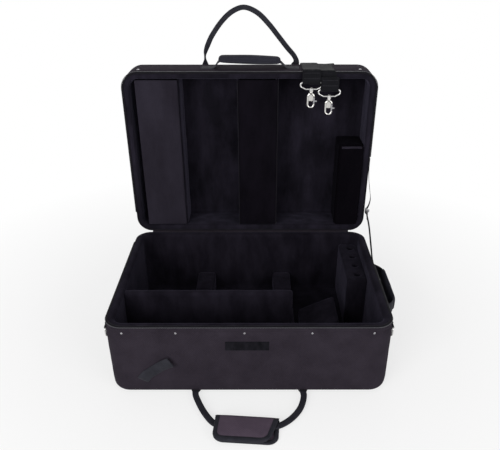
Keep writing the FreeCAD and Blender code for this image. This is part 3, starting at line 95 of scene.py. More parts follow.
def put(name, data):
    """A new object in the scene."""
    made = bpy.data.objects.new(name, data)
    bpy.context.collection.objects.link(made)
    return made


lens = bpy.data.cameras.new("camera")
lens.sensor_width, lens.lens = 36, 40.45
lens.shift_x, lens.shift_y = -0.0119, 0.0515
lens.clip_start, lens.clip_end = 0.05, 30
camera = put("camera", lens)
camera.location = Vector((13.8, -1012.2, 800.2)) * MM
camera.rotation_euler = (math.radians(90 - LOOK_DOWN), TILT, 0)
bpy.context.scene.camera = camera
print("camera", tuple(round(v, 3) for v in camera.location))

# %% [markdown]
# ## Colour and nodes
# Fabric colours are read as sRGB hex values, and the shader works in linear light, so one function converts them.
# A second small function adds a shader node, sets it and links it. The recipes after it are made with it alone:
# a weighted sum, cloudy noise, a colour between two others, and bumps that lie on each other.

# %% Colour and node helpers


def linear(code):
    """An sRGB hex colour as linear RGBA."""
    parts = [int(code[i:i + 2], 16) / 255 for i in (1, 3, 5)]
    return tuple(c / 12.92 if c <= 0.04045 else ((c + 0.055) / 1.055) ** 2.4 for c in parts) + (1.0,)


def add(tree, kind, inputs=(), out=0, **settings):
    """Adds a node and gives back one of its outputs, or all of them when out is None.

    kind may end with an operation. inputs are values or other nodes' outputs, in order or by name or number."""
    kind, _, operation = kind.partition(" ")
    node = tree.nodes.new("ShaderNode" + kind)
    if operation:
        settings["operation"] = operation
    for name, given in settings.items():
        setattr(node, name, given)
    for key, given in inputs.items() if isinstance(inputs, dict) else enumerate(inputs):
        if isinstance(given, bpy.types.NodeSocket):
            tree.links.new(given, node.inputs[key])
        else:
            node.inputs[key].default_value = given
    return node.outputs if out is None else node.outputs[out]


def new_material(name, **constants):
    """A material with constants on its shader's own sockets, and the point on the piece in metres."""
    material = bpy.data.materials.new(name)
    material.use_nodes = True
    tree = material.node_tree
    shader = tree.nodes["Principled BSDF"]
    for key, given in constants.items():
        shader.inputs[key.replace("_", " ")].default_value = given
    return material, tree, shader, add(tree, "TexCoord", out="Object")


def summed(tree, *parts, base=0.0):
    """Adds up values, each times its share."""
    for value, share in reversed(parts):
        base = add(tree, "Math MULTIPLY_ADD", (value, share, base))
    return base


def cloud(tree, spot, size_mm, low=0.0, high=1.0, detail=3.0, rough=0.55):
    """Soft noise with lumps about as wide as told, stretched so that low becomes 0 and high becomes 1."""
    inputs = {"Vector": spot, "Scale": 1 / (size_mm * MM), "Detail": detail, "Roughness": rough}
    value = add(tree, "TexNoise", inputs)
    return add(tree, "MapRange", {"Value": value, "From Min": low, "From Max": high})


def paint(tree, shader, tone, dark, light):
    """Colours the shader between two hex colours, by a tone from 0 to 1."""
    colour = add(tree, "Mix", {0: tone, 6: linear(dark), 7: linear(light)}, 2, data_type="RGBA")
    tree.links.new(colour, shader.inputs["Base Color"])


def emboss(tree, shader, *layers):
    """Lays bumps on each other, each told as its height, its depth in millimetres and its strength."""
    below = {}
    for height, depth_mm, strength in layers:
        inputs = {"Height": height, "Distance": depth_mm * MM, "Strength": strength, **below}
        below = {"Normal": add(tree, "Bump", inputs)}
    tree.links.new(below["Normal"], shader.inputs["Normal"])


# %% [markdown]
# ## Weave
# A woven cloth is two sets of threads at right angles, and each thread shows as a row of small humps.
# The case's cloth faces every way, so the pattern is worked out flat on each of the three main planes, and the
# surface's own direction picks the plane. That needs no unwrapping, and it doesn't stretch at the corners.

# %% Weave pattern


def thread_humps(tree, spot, pitch_mm):
    """Basket weave on whichever main plane the surface lies nearest."""
    turn = math.pi / (pitch_mm * MM)
    x, y, z = [add(tree, "Math SINE", (add(tree, "Math MULTIPLY", (axis, turn)),))
               for axis in add(tree, "SeparateXYZ", (spot,), None)]
    facing = add(tree, "VectorMath ABSOLUTE", (add(tree, "TexCoord", out="Normal"),))
    shares = [add(tree, "Math POWER", (axis, 6.0)) for axis in add(tree, "SeparateXYZ", (facing,), None)]
    planes = [add(tree, "Math MULTIPLY", pair) for pair in ((y, z), (x, z), (x, y))]
    total = summed(tree, *((share, 1.0) for share in shares))
    height = add(tree, "Math DIVIDE", (summed(tree, *zip(shares, planes)), total))
    return summed(tree, (height, 0.5), base=0.5)


# %% [markdown]
# ## Ballistic nylon
# Ballistic nylon is a thick basket weave of dull filament yarn with a coating on its back. The eye sees a nearly
# matt grey-purple black with a faint sheen where it curves away. Its real thread pitch is about 0.8 mm. A pitch
# of 2.2 mm is drawn instead, because the real one is finer than a pixel of the render.

# %% Ballistic nylon
NYLON_PITCH = 2.2


def ballistic_nylon(name, dark, light):
    material, tree, shader, spot = new_material(
        name, Roughness=0.74, IOR=1.53, Specular_IOR_Level=0.02, Sheen_Weight=0.02, Sheen_Roughness=0.45,
        Sheen_Tint=linear("#b9aebd"))
    weave = thread_humps(tree, spot, NYLON_PITCH)
    cloudy = cloud(tree, spot, 46, 0.3, 0.7, 5.0, 0.6)
    fleck = cloud(tree, spot, 3.2, 0.25, 0.75, 2.0)
    paint(tree, shader, summed(tree, (cloudy, 0.45), (weave, 0.3), (fleck, 0.25)), dark, light)
    emboss(tree, shader, (weave, 0.25, 0.7), (cloudy, 0.9, 0.35))
    return material


nylon = ballistic_nylon("ballistic_nylon", "#1f1b21", "#322d35")
grip_nylon = ballistic_nylon("grip_nylon", "#423944", "#5b4f5c")
pad_nylon = ballistic_nylon("pad_nylon", "#212128", "#383841")
print("nylon made")

# %% [markdown]
# ## Plush
# The lining is a short velour pile. It shows almost black when the pile stands up, and grey where a hand has
# brushed it flat, so long soft smudges matter more than any weave. A sheen layer gives the pile's glow at
# grazing angles, and a fine noise bump breaks up the surface like fibre ends.

# %% Plush lining
UPRIGHT_STRETCH, PILE_SIZE = (1.0, 1.0, 0.36), 2.4


def velour(name, deep, brushed, sheen, smudge):
    material, tree, shader, spot = new_material(
        name, Roughness=0.95, IOR=1.5, Specular_IOR_Level=0.05, Sheen_Weight=sheen, Sheen_Roughness=0.38,
        Sheen_Tint=linear("#8f8aa6"))
    stretched = add(tree, "Mapping", {"Vector": spot, "Scale": UPRIGHT_STRETCH})
    streaks = cloud(tree, stretched, smudge, 0.38, 0.68, 6.0, 0.62)
    patches = cloud(tree, spot, smudge * 2.6, 0.35, 0.65)
    pile = cloud(tree, spot, PILE_SIZE, rough=0.7)
    paint(tree, shader, summed(tree, (streaks, 0.62), (patches, 0.26), (pile, 0.12)), deep, brushed)
    emboss(tree, shader, (pile, 0.8, 0.6), (streaks, 1.2, 0.25))
    return material


plush = velour("plush_pile", "#0c0b10", "#24212b", 0.3, 34)
# The base's copy of the plush is a little darker and duller, which paints the shade that falls inside the deep
# tray.
base_plush_painted_shade = velour("base_plush_pile_painted_shade", "#0b090f", "#221f28", 0.2, 34)
still_plush = velour("still_plush", "#040306", "#0f0c13", 0.08, 40)
# The near-black copy of the plush on the accessory box paints the shade that falls on the box's front.
painted_shade_plush = velour("painted_shade_plush", "#020104", "#060408", 0.02, 30)
brushed_tricot = velour("brushed_tricot", "#1c1920", "#2a2730", 0.14, 60)
print("plush made")

# %% [markdown]
# ## Webbing, tape and binding
# Webbing is woven in ribs across its width, and its two edges are turned and slightly raised. Every strip built
# below carries a UV map in metres, U along the strip and V across it, so the ribs follow each bend. The pitch
# of heavy polyester webbing is about 1.6 mm, and grosgrain tape has ribs every millimetre. Both are drawn a
# little coarser, at 1.9 and 1.3 mm, so that the ribs still show in the render.

# %% Ribbed webbing
TWILL_PITCH = 3 * MM


def ribbed(name, dark, light, pitch_mm, depth_mm):
    material, tree, shader, spot = new_material(
        name, Roughness=0.66, IOR=1.53, Specular_IOR_Level=0.05, Sheen_Weight=0.04, Sheen_Roughness=0.4)
    along, across, _ = add(tree, "SeparateXYZ", (add(tree, "TexCoord", out="UV"),), None)
    turn = math.pi / (pitch_mm * MM)
    rib = add(tree, "Math SINE", (summed(tree, (along, 2 * turn)),))
    twill = add(tree, "Math SINE", (summed(tree, (across, 2 * math.pi / TWILL_PITCH), (along, turn)),))
    height = summed(tree, (rib, 0.3), (twill, 0.2), base=0.5)
    worn = cloud(tree, spot, 14, 0.3, 0.75, 4.0)
    paint(tree, shader, summed(tree, (height, 0.6), (worn, 0.4)), dark, light)
    emboss(tree, shader, (height, depth_mm, 0.8))
    return material


webbing = ribbed("polyester_webbing", "#18181d", "#33333a", 1.9, 0.3)
strap_web = ribbed("strap_webbing", "#0a0a0d", "#18181c", 1.9, 0.3)
grosgrain = ribbed("grosgrain_binding", "#0c0b0f", "#1c1a20", 1.3, 0.2)
zip_tape = ribbed("woven_zip_tape", "#0d0d11", "#1c1c21", 1.5, 0.15)
print("webbing made")

# %% [markdown]
# ## Metal and plastic
# The nails, hooks and slider are die-cast zinc under bright nickel plating. The ring and frame wire is plated
# steel, a little duller. A metal's colour is its reflection at normal incidence, so the base colour is the
# nickel's own warm grey and the shader keeps its default index. Soft noise in the roughness stands for handling.
# The adjuster and the zip's coil are smooth plastics, and a fine grain stands for the flow of the mould.

# %% Metals and plastic


def plated(name, colour, rough, wear):
    material, tree, shader, spot = new_material(name, Metallic=1.0, Base_Color=linear(colour))
    smear = cloud(tree, spot, 5, 0.35, 0.7, 4.0)
    tree.links.new(summed(tree, (smear, wear), base=rough), shader.inputs["Roughness"])
    return material


def moulded(name, dark, light, rough, size_mm, ior=1.48):
    material, tree, shader, spot = new_material(name, IOR=ior)
    grain = cloud(tree, spot, size_mm)
    paint(tree, shader, grain, dark, light)
    tree.links.new(summed(tree, (grain, 0.12), base=rough), shader.inputs["Roughness"])
    emboss(tree, shader, (grain, 0.1, 0.5))
    return material


nickel = plated("bright_nickel_plate", "#c8c6c3", 0.1, 0.12)
# A darker copy of the nickel, for the nails, gates and zip slider, paints the reflection of the dark case around
# them.
nickel_painted_dark_reflection = plated("nickel_plate_painted_dark_reflection", "#98979a", 0.18, 0.14)
steel_wire = plated("plated_steel_wire", "#c4c3c2", 0.22, 0.16)
acetal = moulded("moulded_acetal", "#141417", "#1f1f23", 0.32, 2.0)
zip_nylon = moulded("nylon_zip_coil", "#15151a", "#26262d", 0.38, 1.5, 1.53)
foam_sheet = moulded("closed_cell_foam", "#2b2b2e", "#3a3a3d", 0.85, 1.2)
thread = moulded("polyester_thread", "#24232a", "#34323b", 0.6, 1.0, 1.53)
print(len(bpy.data.materials), "materials so far")

# %% [markdown]
# ## Studio
# A pale floor under the case keeps its shadow. Where the camera or a reflection sees past it, the world shows plain
# white. Three large soft lamps light the case evenly, the way a product is shot on a white sweep.

# %% Floor and world
WHITE, PALE = (1, 1, 1, 1), (0.9, 0.9, 0.9, 1)
WORLD_LIGHT, SHADOW_KEPT = 0.43, 0.3
SHADOW_REACH = (0.45, 1.0)


def plainly_seen(tree):
    """1 where the camera, a reflection or glass looks, and 0 for the light that falls on the case."""
    rays = add(tree, "LightPath", out=None)
    mirrored = add(tree, "Math MAXIMUM", (rays["Is Glossy Ray"], rays["Is Transmission Ray"]))
    return add(tree, "Math MAXIMUM", (rays["Is Camera Ray"], mirrored))


floor_data = bpy.data.meshes.new("floor")
floor_data.from_pydata([(-6, -4, 0), (6, -4, 0), (6, 8, 0), (-6, 8, 0)], [], [(0, 1, 2, 3)])
floor = put("floor", floor_data)
floor.location.z = -0.4 * MM
floor_paint, tree, shader, spot = new_material("matt_white_floor", Roughness=0.9, Base_Color=PALE)
away = add(tree, "VectorMath LENGTH", (spot,), "Value")
far = add(tree, "MapRange", {"Value": away, "From Min": SHADOW_REACH[0], "From Max": SHADOW_REACH[1]})
share = add(tree, "Math MULTIPLY", (plainly_seen(tree), summed(tree, (far, SHADOW_KEPT), base=1 - SHADOW_KEPT)))
glow = add(tree, "Emission", {"Color": WHITE, "Strength": 1.0})
blend = add(tree, "MixShader", (share, shader.outputs[0], glow))
tree.links.new(blend, tree.nodes["Material Output"].inputs["Surface"])
floor_data.materials.append(floor_paint)

world = bpy.data.worlds.new("studio")
world.use_nodes = True
bpy.context.scene.world = world
tree, sky = world.node_tree, world.node_tree.nodes["Background"].inputs
tree.links.new(summed(tree, (plainly_seen(tree), 1 - WORLD_LIGHT), base=WORLD_LIGHT), sky["Strength"])
sky["Color"].default_value = WHITE
bpy.context.scene.view_settings.view_transform = "Standard"
print("floor and world ready")

# %% Lamps
LAMPS = (("key_lamp", (-1.3, -2.1, 1.2), (0, 0, 0.2), 1.4, 41),
         ("fill_lamp", (1.7, -1.9, 0.9), (0, 0, 0.2), 1.5, 26),
         ("back_lamp", (0.2, 1.7, 1.9), (0, 0.2, 0.3), 1.3, 6))
for name, place, aim, size, watts in LAMPS:
    light = bpy.data.lights.new(name, "AREA")
    light.shape, light.size, light.energy = "SQUARE", size, watts
    lamp = put(name, light)
    lamp.location = place
    lamp.rotation_euler = (Vector(aim) - Vector(place)).to_track_quat("-Z", "Y").to_euler()
print(len(LAMPS), "lamps lit")

# %% [markdown]
# ## Making a mesh piece
# Every soft piece below is plain points and faces worked out in code. One helper makes the Blender object, one
# lofts a skin over rings of points, and one more says which body the piece rides on and which imported solids it
# stands for.

# %% Mesh helpers


def mesh_piece(name, points, faces, material, uvs=None):
    """A smooth-shaded object from points in millimetres; uvs are metres, one pair for each point."""
    data = bpy.data.meshes.new(name)
    data.from_pydata([Vector(p) * MM for p in points], [], faces)
    data.polygons.foreach_set("use_smooth", [True] * len(faces))
    if uvs:
        layer = data.uv_layers.new(name="strip")
        for corner, loop in enumerate(data.loops):
            layer.data[corner].uv = uvs[loop.vertex_index]
    data.materials.append(material)
    return put(name, data)


def bridged(rings, capped=True, looped=False):
    """Faces between rings of equal length, capped at both ends, or looped from the last to the first."""
    count, total = len(rings[0]), len(rings)
    faces = []
    for r in range(total if looped else total - 1):
        low, high = r * count, (r + 1) % total * count
        for i in range(count):
            j = (i + 1) % count
            faces.append((low + i, low + j, high + j, high + i))
    if capped and not looped:
        faces.append(tuple(reversed(range(count))))
        faces.append(tuple(range((total - 1) * count, total * count)))
    return faces


def joined(rings):
    return [p for ring in rings for p in ring]


def lofted(name, rings, material, uvs=None, looped=False):
    return mesh_piece(name, joined(rings), bridged(rings, looped=looped), material, uvs)


def coated(piece, material):
    """Leaves this one material on the piece."""
    piece.data.materials.clear()
    piece.data.materials.append(material)
    return piece


def settle(piece, body, slot, *replaced):
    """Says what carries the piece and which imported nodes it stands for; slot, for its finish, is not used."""
    if body:
        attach(piece, body)
    if replaced:
        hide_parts(*replaced)
    return piece


def lumps(spot, size_mm, seed):
    """Smooth noise from -1 to 1 at a point in millimetres."""
    return noise.noise(Vector(spot) / size_mm + Vector((seed * 7.3, seed * 3.1, seed * 1.7)))


# %% [markdown]
# ## Walls of the case
# Base and lid are the same rounded rectangle seen from above, so one outline serves every layer of both: the
# nylon outside, the plush inside and the tapes round the rim. Each layer is a stack of rings, and every point of
# a ring is then moved a little, because cloth over foam is never quite flat.

# %% Outline and rings
ALONG, ACROSS, BEND = 88, 60, 12


def outline(inset):
    """Points round the case, at an inset from its outer face, with the way out at each of them."""
    half_x, half_y = LENGTH / 2 - inset, DEPTH / 2 - inset
    radius = max(CORNER - inset, 5)
    found = []
    corners = ((1, 1, 0, ALONG), (-1, 1, 90, ACROSS), (-1, -1, 180, ALONG), (1, -1, 270, ACROSS))
    for sx, sy, start, after in corners:
        middle = Vector((sx * (half_x - radius), sy * (half_y - radius), 0))
        for step in range(BEND):
            turn = math.radians(start + 90 * step / (BEND - 1))
            way = Vector((math.cos(turn), math.sin(turn), 0))
            found.append((middle + way * radius, way))
        end, side = found[-1][0], Vector((-way.y, way.x, 0))
        run = 2 * (half_x - radius) if after == ALONG else 2 * (half_y - radius)
        found += [(end + side * run * step / after, way) for step in range(1, after)]
    return found


def shell(name, profile, moved, thickness, material, standing):
    """A stack of outline rings, each told as (inset, height), moved point by point and made solid inwards."""
    rings = []
    for inset, height in profile:
        ring = [moved(Vector((flat.x, flat.y, height)), way, inset) for flat, way in outline(inset)]
        rings.append([in_place(spot, standing) for spot in ring])
    points = joined(rings)
    faces = bridged(rings, capped=False) + [tuple(range(len(points) - len(rings[0]), len(points)))]
    if standing:
        faces = [face[::-1] for face in faces]
    piece = mesh_piece(name, points, faces, material)
    solid = piece.modifiers.new("thickness", "SOLIDIFY")
    solid.thickness, solid.offset, solid.use_even_offset = thickness * MM, -1, False
    return piece


print(len(outline(0)), "points in each ring")

# %% [markdown]
# ## Nylon covers
# A side panel goes round the walls and a flat panel closes the tray, and the foot between them is a soft roll
# over the foam. The zip's tape is sewn on in a row just under the rim, which draws the nylon in to a fine groove
# with small puckers. Below the groove the cloth swells a little, and each dome nail pulls in a dimple.

# %% Nylon covers
SEAM_DOWN, NYLON_THICK, BELOW_RIM = 9.6, 1.2, 3
GROOVE_WIDE, GROOVE_DEEP, PUCKER_DEEP, PUCKER_LONG = 1.5, 0.7, 0.5, 7
WALL_SWELL, NAIL_REACH, DIMPLE, FOOT_LIFT = 1.5, 24, 8, 1.25
COVERS = {"base": (1, "base_bottom_panel", -DEPTH / 2, 148, (-0.437, -0.252, -0.015, 0.218, 0.431)),
          "lid": (2, "lid_top_panel", DEPTH / 2, LID_TALL - 29, (-0.44, 0.436))}


def cover_profile(top):
    """From the rim down the wall, round the soft foot and in across the tray's outer face."""
    walls = [(0, top - down) for down in (0, 4, 7, 8.6, SEAM_DOWN, 10.6, 12)]
    height = top - 17
    while height > FOOT + 4:
        walls.append((0, height))
        height -= 6
    turns = [math.radians(90 * step / 7) for step in range(8)]
    foot = [(FOOT * (1 - math.cos(t)), FOOT * (1 - math.sin(t))) for t in turns]
    return walls + foot + [(inset, 0) for inset in (19, 28, 40, 56, 76, 100, 126, 152, 178)]


def cover_move(top, seed, nails):
    """Makes the rule that shifts each point of a nylon cover."""

    def move(spot, way, inset):
        groove = math.exp(-((spot.z - (top - SEAM_DOWN)) / GROOVE_WIDE) ** 2)
        pucker = 0.5 + 0.5 * math.sin((spot.x + spot.y) / PUCKER_LONG + 3 * lumps(spot, 30, seed))
        wall = min(max(spot.z - 2, 0) / 20, 1) * min(max(top - 10 - spot.z, 0) / 14, 1)
        small = lumps((spot.x, spot.y, spot.z * 2.2), 34, seed + 5)
        sag = 0.8 * (0.55 + 0.5 * lumps(spot, 120, seed) + 0.22 * small)
        out = WALL_SWELL * wall * (0.6 + sag) - groove * (GROOVE_DEEP + PUCKER_DEEP * pucker)
        for nail in nails:
            gap = (spot - Vector(nail)).length
            if gap < NAIL_REACH:
                out *= 1 - math.exp(-(gap / DIMPLE) ** 2)
        lift = FOOT_LIFT * min(max(1 - spot.z / 12, 0), 1) + (0.3 if inset > FOOT else 0.0)
        return spot + way * out + Vector((0, 0, lift))

    return move


covers = {}
for body, height, standing in HALVES:
    seed, panel, face, level, shares = COVERS[body]
    top = height - BELOW_RIM
    rule = cover_move(top, seed, [(share * LENGTH, face, level) for share in shares])
    cover = shell(body + "_cover", cover_profile(top), rule, NYLON_THICK, nylon, standing)
    covers[body] = settle(cover, body, "ballistic_nylon", body + "_side_cover", panel)
    print(body, "cover:", len(cover.data.vertices), "points")

# %% [markdown]
# ## Plush linings
# The lining starts under the bound edge, rolls over the top of the wall and drops to the floor in one piece. The
# roll is padded, so it is round and a little uneven. In the corners and along the lid's lower wall the spare
# cloth lies in small folds, and a felt-soft surface needs nothing sharper than that.

# %% Plush linings
ROLL_DROP, PLUSH_THICK, FLOOR_BEND = 1.3, 1.4, 7
GATHER_TALL, GATHER_DEEP, FOLD_REACH, FOLD_DEEP = 4.6, 0.9, 20, 1.5
# The base's lining takes the darker plush, whose darkness is painted shade.
LININGS = {"base": (11, None, base_plush_painted_shade), "lid": (12, WALL - DEPTH / 2, plush)}


def lining_profile(top):
    """From the bound edge over the padded roll, down the wall, round the bend and in across the floor."""
    roll = [(0.6, top - 3.2), (1.4, top - 0.6), (3, top - 0.1), (5, top), (7, top), (9, top - 0.1),
            (11, top - 0.7), (12.6, top - 1.9), (13.6, top - 3.7), (WALL, top - 6)]
    height = top - 10
    while height > TRAY_FLOOR + 10:
        roll.append((WALL, height))
        height -= 6
    turns = [math.radians(a) for a in (10, 30, 50, 70, 90)]
    bend = [(WALL + FLOOR_BEND * (1 - math.cos(t)), TRAY_FLOOR + FLOOR_BEND * (1 - math.sin(t))) for t in turns]
    return roll + bend + [(inset, TRAY_FLOOR) for inset in range(26, 177, 6)]


def lining_move(top, seed, folded_side):
    """Makes the rule for a lining; folded_side is the y of the wall with more folds."""

    def move(spot, way, inset):
        if inset > WALL + FLOOR_BEND + 0.5:
            flat = min((inset - WALL - FLOOR_BEND) / 24, 1)
            rise = 0.8 * lumps(spot, 70, seed) + 0.35 * lumps(spot, 22, seed + 2)
            return spot + Vector((0, 0, 0.4 + rise * flat))
        corner = min(abs(way.x), abs(way.y)) * 1.41
        wall = min(max(top - 4 - spot.z, 0) / 10, 1)
        gather = math.sin(spot.z / GATHER_TALL + 4 * lumps((spot.x, spot.y, 0), 26, seed)) * corner * GATHER_DEEP
        slack = 0.0
        if folded_side and abs(spot.y - folded_side) < FOLD_REACH and wall > 0:
            slack = FOLD_DEEP * lumps((spot.x, spot.y, spot.z * 2.5), 20, seed + 8) * min(abs(way.y), 1)
        swell = 0.9 * lumps(spot, 60, seed) + 0.35 * lumps(spot, 17, seed + 3)
        dip = Vector((0, 0, 0.35 * (1 - wall))) * abs(lumps(spot, 26, seed + 4))
        return spot - way * ((swell + gather + slack) * wall + 0.3 * wall) - dip

    return move


for body, height, standing in HALVES:
    seed, folded_side, cloth = LININGS[body]
    top = height - ROLL_DROP
    lining = shell(body + "_lining_plush", lining_profile(top), lining_move(top, seed, folded_side),
                   PLUSH_THICK, cloth, standing)
    settle(lining, body, "plush_lining", body + "_lining")
    lining.data.flip_normals()
    print(body, "lining:", len(lining.data.vertices), "points")

# %% [markdown]
# ## Bands
# Webbing, binding, zip tape and piping are all one thing to a modeller: a flat section carried along a line. The
# line is drawn by a few rows of place, width, thickness and twist, a smooth curve runs through the rows, and the
# section follows it. The UV map is measured along the band in metres, so every weave keeps its real size.

# %% Band helpers
FLAT_SECTION = ((-0.5, 0.0), (-0.47, 0.42), (-0.3, 0.5), (0.0, 0.45), (0.3, 0.5), (0.47, 0.42),
                (0.5, 0.0), (0.47, -0.42), (0.3, -0.5), (0.0, -0.45), (-0.3, -0.5), (-0.47, -0.42))
ROUND_SECTION = tuple((0.5 * math.cos(math.radians(a)), 0.5 * math.sin(math.radians(a)))
                      for a in range(180, -180, -30))


def flowing(rows, spacing=3.0):
    """Rows of numbers on a smooth curve through the given rows; the first three numbers are the place."""
    reach, slopes, found = [0.0], [], []
    last = len(rows) - 1
    for before, after in zip(rows, rows[1:]):
        reach.append(reach[-1] + (Vector(after[:3]) - Vector(before[:3])).length)
    for i in range(last + 1):
        a, b = max(i - 1, 0), min(i + 1, last)
        slopes.append([(q - p) / (reach[b] - reach[a]) for p, q in zip(rows[a], rows[b])])
    for i in range(last):
        span = reach[i + 1] - reach[i]
        steps = max(1, round(span / spacing))
        for step in range(steps):
            s = step / steps
            h = (2 * s ** 3 - 3 * s * s + 1, (s ** 3 - 2 * s * s + s) * span,
                 3 * s * s - 2 * s ** 3, (s ** 3 - s * s) * span)
            found.append([h[0] * p + h[1] * m + h[2] * q + h[3] * n for p, m, q, n in
                          zip(rows[i], slopes[i], rows[i + 1], slopes[i + 1])])
    return found + [list(rows[-1])]


def band(name, rows, material, up=None, across=None, closed=False, section=FLAT_SECTION):
    """Carries a section along rows of x, y, z, width, thickness and twist in degrees."""
    places = [Vector(row[:3]) for row in rows]
    count, rings, uvs, run = len(rows), [], [], 0.0
    for i, (x, y, z, width, thick, twist) in enumerate(rows):
        before = places[i - 1] if i or closed else places[0]
        after = places[(i + 1) % count] if i + 1 < count or closed else places[-1]
        way = (after - before).normalized()
        side = way.cross(Vector(up)).normalized() if up else Vector(across)
        outward = side.cross(way).normalized()
        side = way.cross(outward).normalized()
        turn = Matrix.Rotation(math.radians(twist), 3, way)
        side, outward = turn @ side, turn @ outward
        rings.append([places[i] + side * (a * width) + outward * (b * thick) for a, b in section])
        run += (places[i] - places[i - 1]).length if i else 0.0
        uvs += [(run * MM, a * width * MM) for a, _ in section]
    return lofted(name, rings, material, uvs, closed)


def rim_line(inset, height, free_right, free_left, standing):
    """The outline from the hinge side's right end round the far side to its left end, as places."""
    hinge = -1 if standing else 1
    stations = outline(inset)
    middle = next(i for i, (p, way) in enumerate(stations) if way.y * hinge > 0.99 and p.x * hinge <= 0)
    line = []
    for p, _ in stations[middle:] + stations[:middle]:
        if p.y * hinge < DEPTH / 2 - (free_right if p.x > 0 else free_left):
            line.append(in_place((p.x, p.y, height), standing))
    return line


# %% [markdown]
# ## Bound edge and zip
# The rim of each half is closed with grosgrain binding. Just outside it runs the zip: a woven tape, and on the
# tape's free edge a coil of nylon filament. The coil's turns are real geometry, a tube that swells and narrows
# with each turn, because it catches the light as a row of beads from close by.

# %% Bound edge
BINDING_IN, BINDING_DOWN, BINDING_SIZE = 1.6, 1.75, (3.5, 3.1)
for body, top, standing in HALVES:
    rows = []
    for flat, _ in outline(BINDING_IN):
        level = top - BINDING_DOWN + 0.15 * lumps(flat, 18, 4)
        rows.append((*in_place((flat.x, flat.y, level), standing), *BINDING_SIZE, 0))
    binding = band(body + "_edge_binding", rows, grosgrain, across=WALL_WAY[body], closed=True)
    settle(binding, body, "bound_edge", body + "_rim_binding")
print("edges bound")

# %% Zip
TAPE_OUT, TAPE_DOWN, TAPE_SIZE = 0.5, 5.6, (10, 0.9)
COIL_OUT, COIL_DOWN, COIL_SIZE, COIL_PITCH = 1.7, 1.9, (2.7, 1.6), 2.6
FREE_LEFT, FREE_RIGHT = 46, {"base": 146, "lid": 181}
TURN_STEPS, COIL_MEAN, COIL_SWELL = 4, 0.78, 0.22
for body, top, standing in HALVES:
    free = FREE_RIGHT[body], FREE_LEFT, standing
    rows = [(*p, *TAPE_SIZE, 0) for p in rim_line(-TAPE_OUT, top - TAPE_DOWN, *free)]
    tape = band(body + "_zip_tape", rows, zip_tape, across=WALL_WAY[body])
    settle(tape, body, "zip_tape", body + "_zipper_tape")
    rows = flowing([(*p, *COIL_SIZE, 0) for p in rim_line(-COIL_OUT, top - COIL_DOWN, *free)],
                   COIL_PITCH / TURN_STEPS)
    for i, row in enumerate(rows):
        swell = COIL_MEAN + COIL_SWELL * math.cos(2 * math.pi * i / TURN_STEPS)
        row[3:5] = [size * swell for size in row[3:5]]
    coil = band(body + "_zip_coil", rows, zip_nylon, across=WALL_WAY[body], section=ROUND_SECTION[::2])
    settle(coil, body, "zip_coil", body + "_zipper_coil")
    print(body, "zip:", len(rows) // TURN_STEPS, "turns")

# %% [markdown]
# ## Loose end of the zip
# At the right the zip leaves the walls, so that the lid can fold back. Both of its strands run to the slider that
# is parked behind the corner. The upper strand crosses the hinge from base to lid.

# %% Loose zip strands
LOWER_STRAND = ((270.9, 39, 157.9, 9, 0.9, 0), (271.2, 58, 161, 9, 0.9, 4), (272.6, 92, 177, 8.6, 1, 10),
                (274.1, 140, 202, 8.6, 1.1, 6), (274.6, 184, 214, 9, 1.2, 0))
UPPER_STRAND = ((270.9, 193.6, 348, 9, 0.9, 0), (271.3, 193.3, 325, 8.6, 1, 4), (273.4, 192.6, 298, 8.4, 1, 8),
                (278, 191.6, 271, 8.4, 1, 8), (281.6, 190.9, 248, 8.4, 1, 5), (279, 190.3, 231, 8.6, 1.1, 2),
                (274.8, 190, 222, 9, 1.2, 0))
lower = band("zip_lower_strand", flowing(LOWER_STRAND), zip_tape, across=(0, 0, 1))
settle(lower, "base", "zip_tape", "zipper_end_base")
upper = band("zip_upper_strand", flowing(UPPER_STRAND), zip_tape, across=(0, 1, 0))
settle(upper, None, "zip_tape", "zipper_end_lid")
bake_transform(upper)
print("strands made")

# %% [markdown]
# ## Fabric hinge
# Base and lid are joined by a strip of the same nylon, sewn flat to both and rolled over the gap between them.
# It crosses the joint in one strip, with one edge on the base and the other on the lid.

# %% Fabric hinge
HINGE_HALF, HINGE_STEPS, HINGE_CLOTH, TURNS_OVER = 236, 80, 0.9, 162
HINGE_PROFILE = [(186.7, 140.5), (187.0, 150), (187.1, 158), (187.9, 162.4), (189.4, 163.6), (191.6, 164.5),
                 (199, 164.7), (211, 164.9)]
inner = [(y - HINGE_CLOTH, z) if z < TURNS_OVER else (y, z - HINGE_CLOTH) for y, z in reversed(HINGE_PROFILE)]
rings = []
for step in range(HINGE_STEPS + 1):
    x = -HINGE_HALF + 2 * HINGE_HALF * step / HINGE_STEPS
    rings.append([(x, y + 0.3 * lumps((x, y, z), 16, 3), z + 0.25 * lumps((x, z, y), 19, 6))
                  for y, z in HINGE_PROFILE + inner])
gusset = lofted("hinge_gusset", rings, nylon)
settle(gusset, None, "ballistic_nylon", "hinge_piping", "hinge_tape_base", "hinge_tape_lid")
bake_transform(gusset)
print("hinge made,", 2 * HINGE_HALF, "mm long")

# %% [markdown]
# ## Web handles
# Each web handle is one length of webbing. Its ends are sewn flat to the case, folded narrower where they leave
# it, and the loop between them stands or lies as it likes. The sewn ends stay with the case while the loop swings.

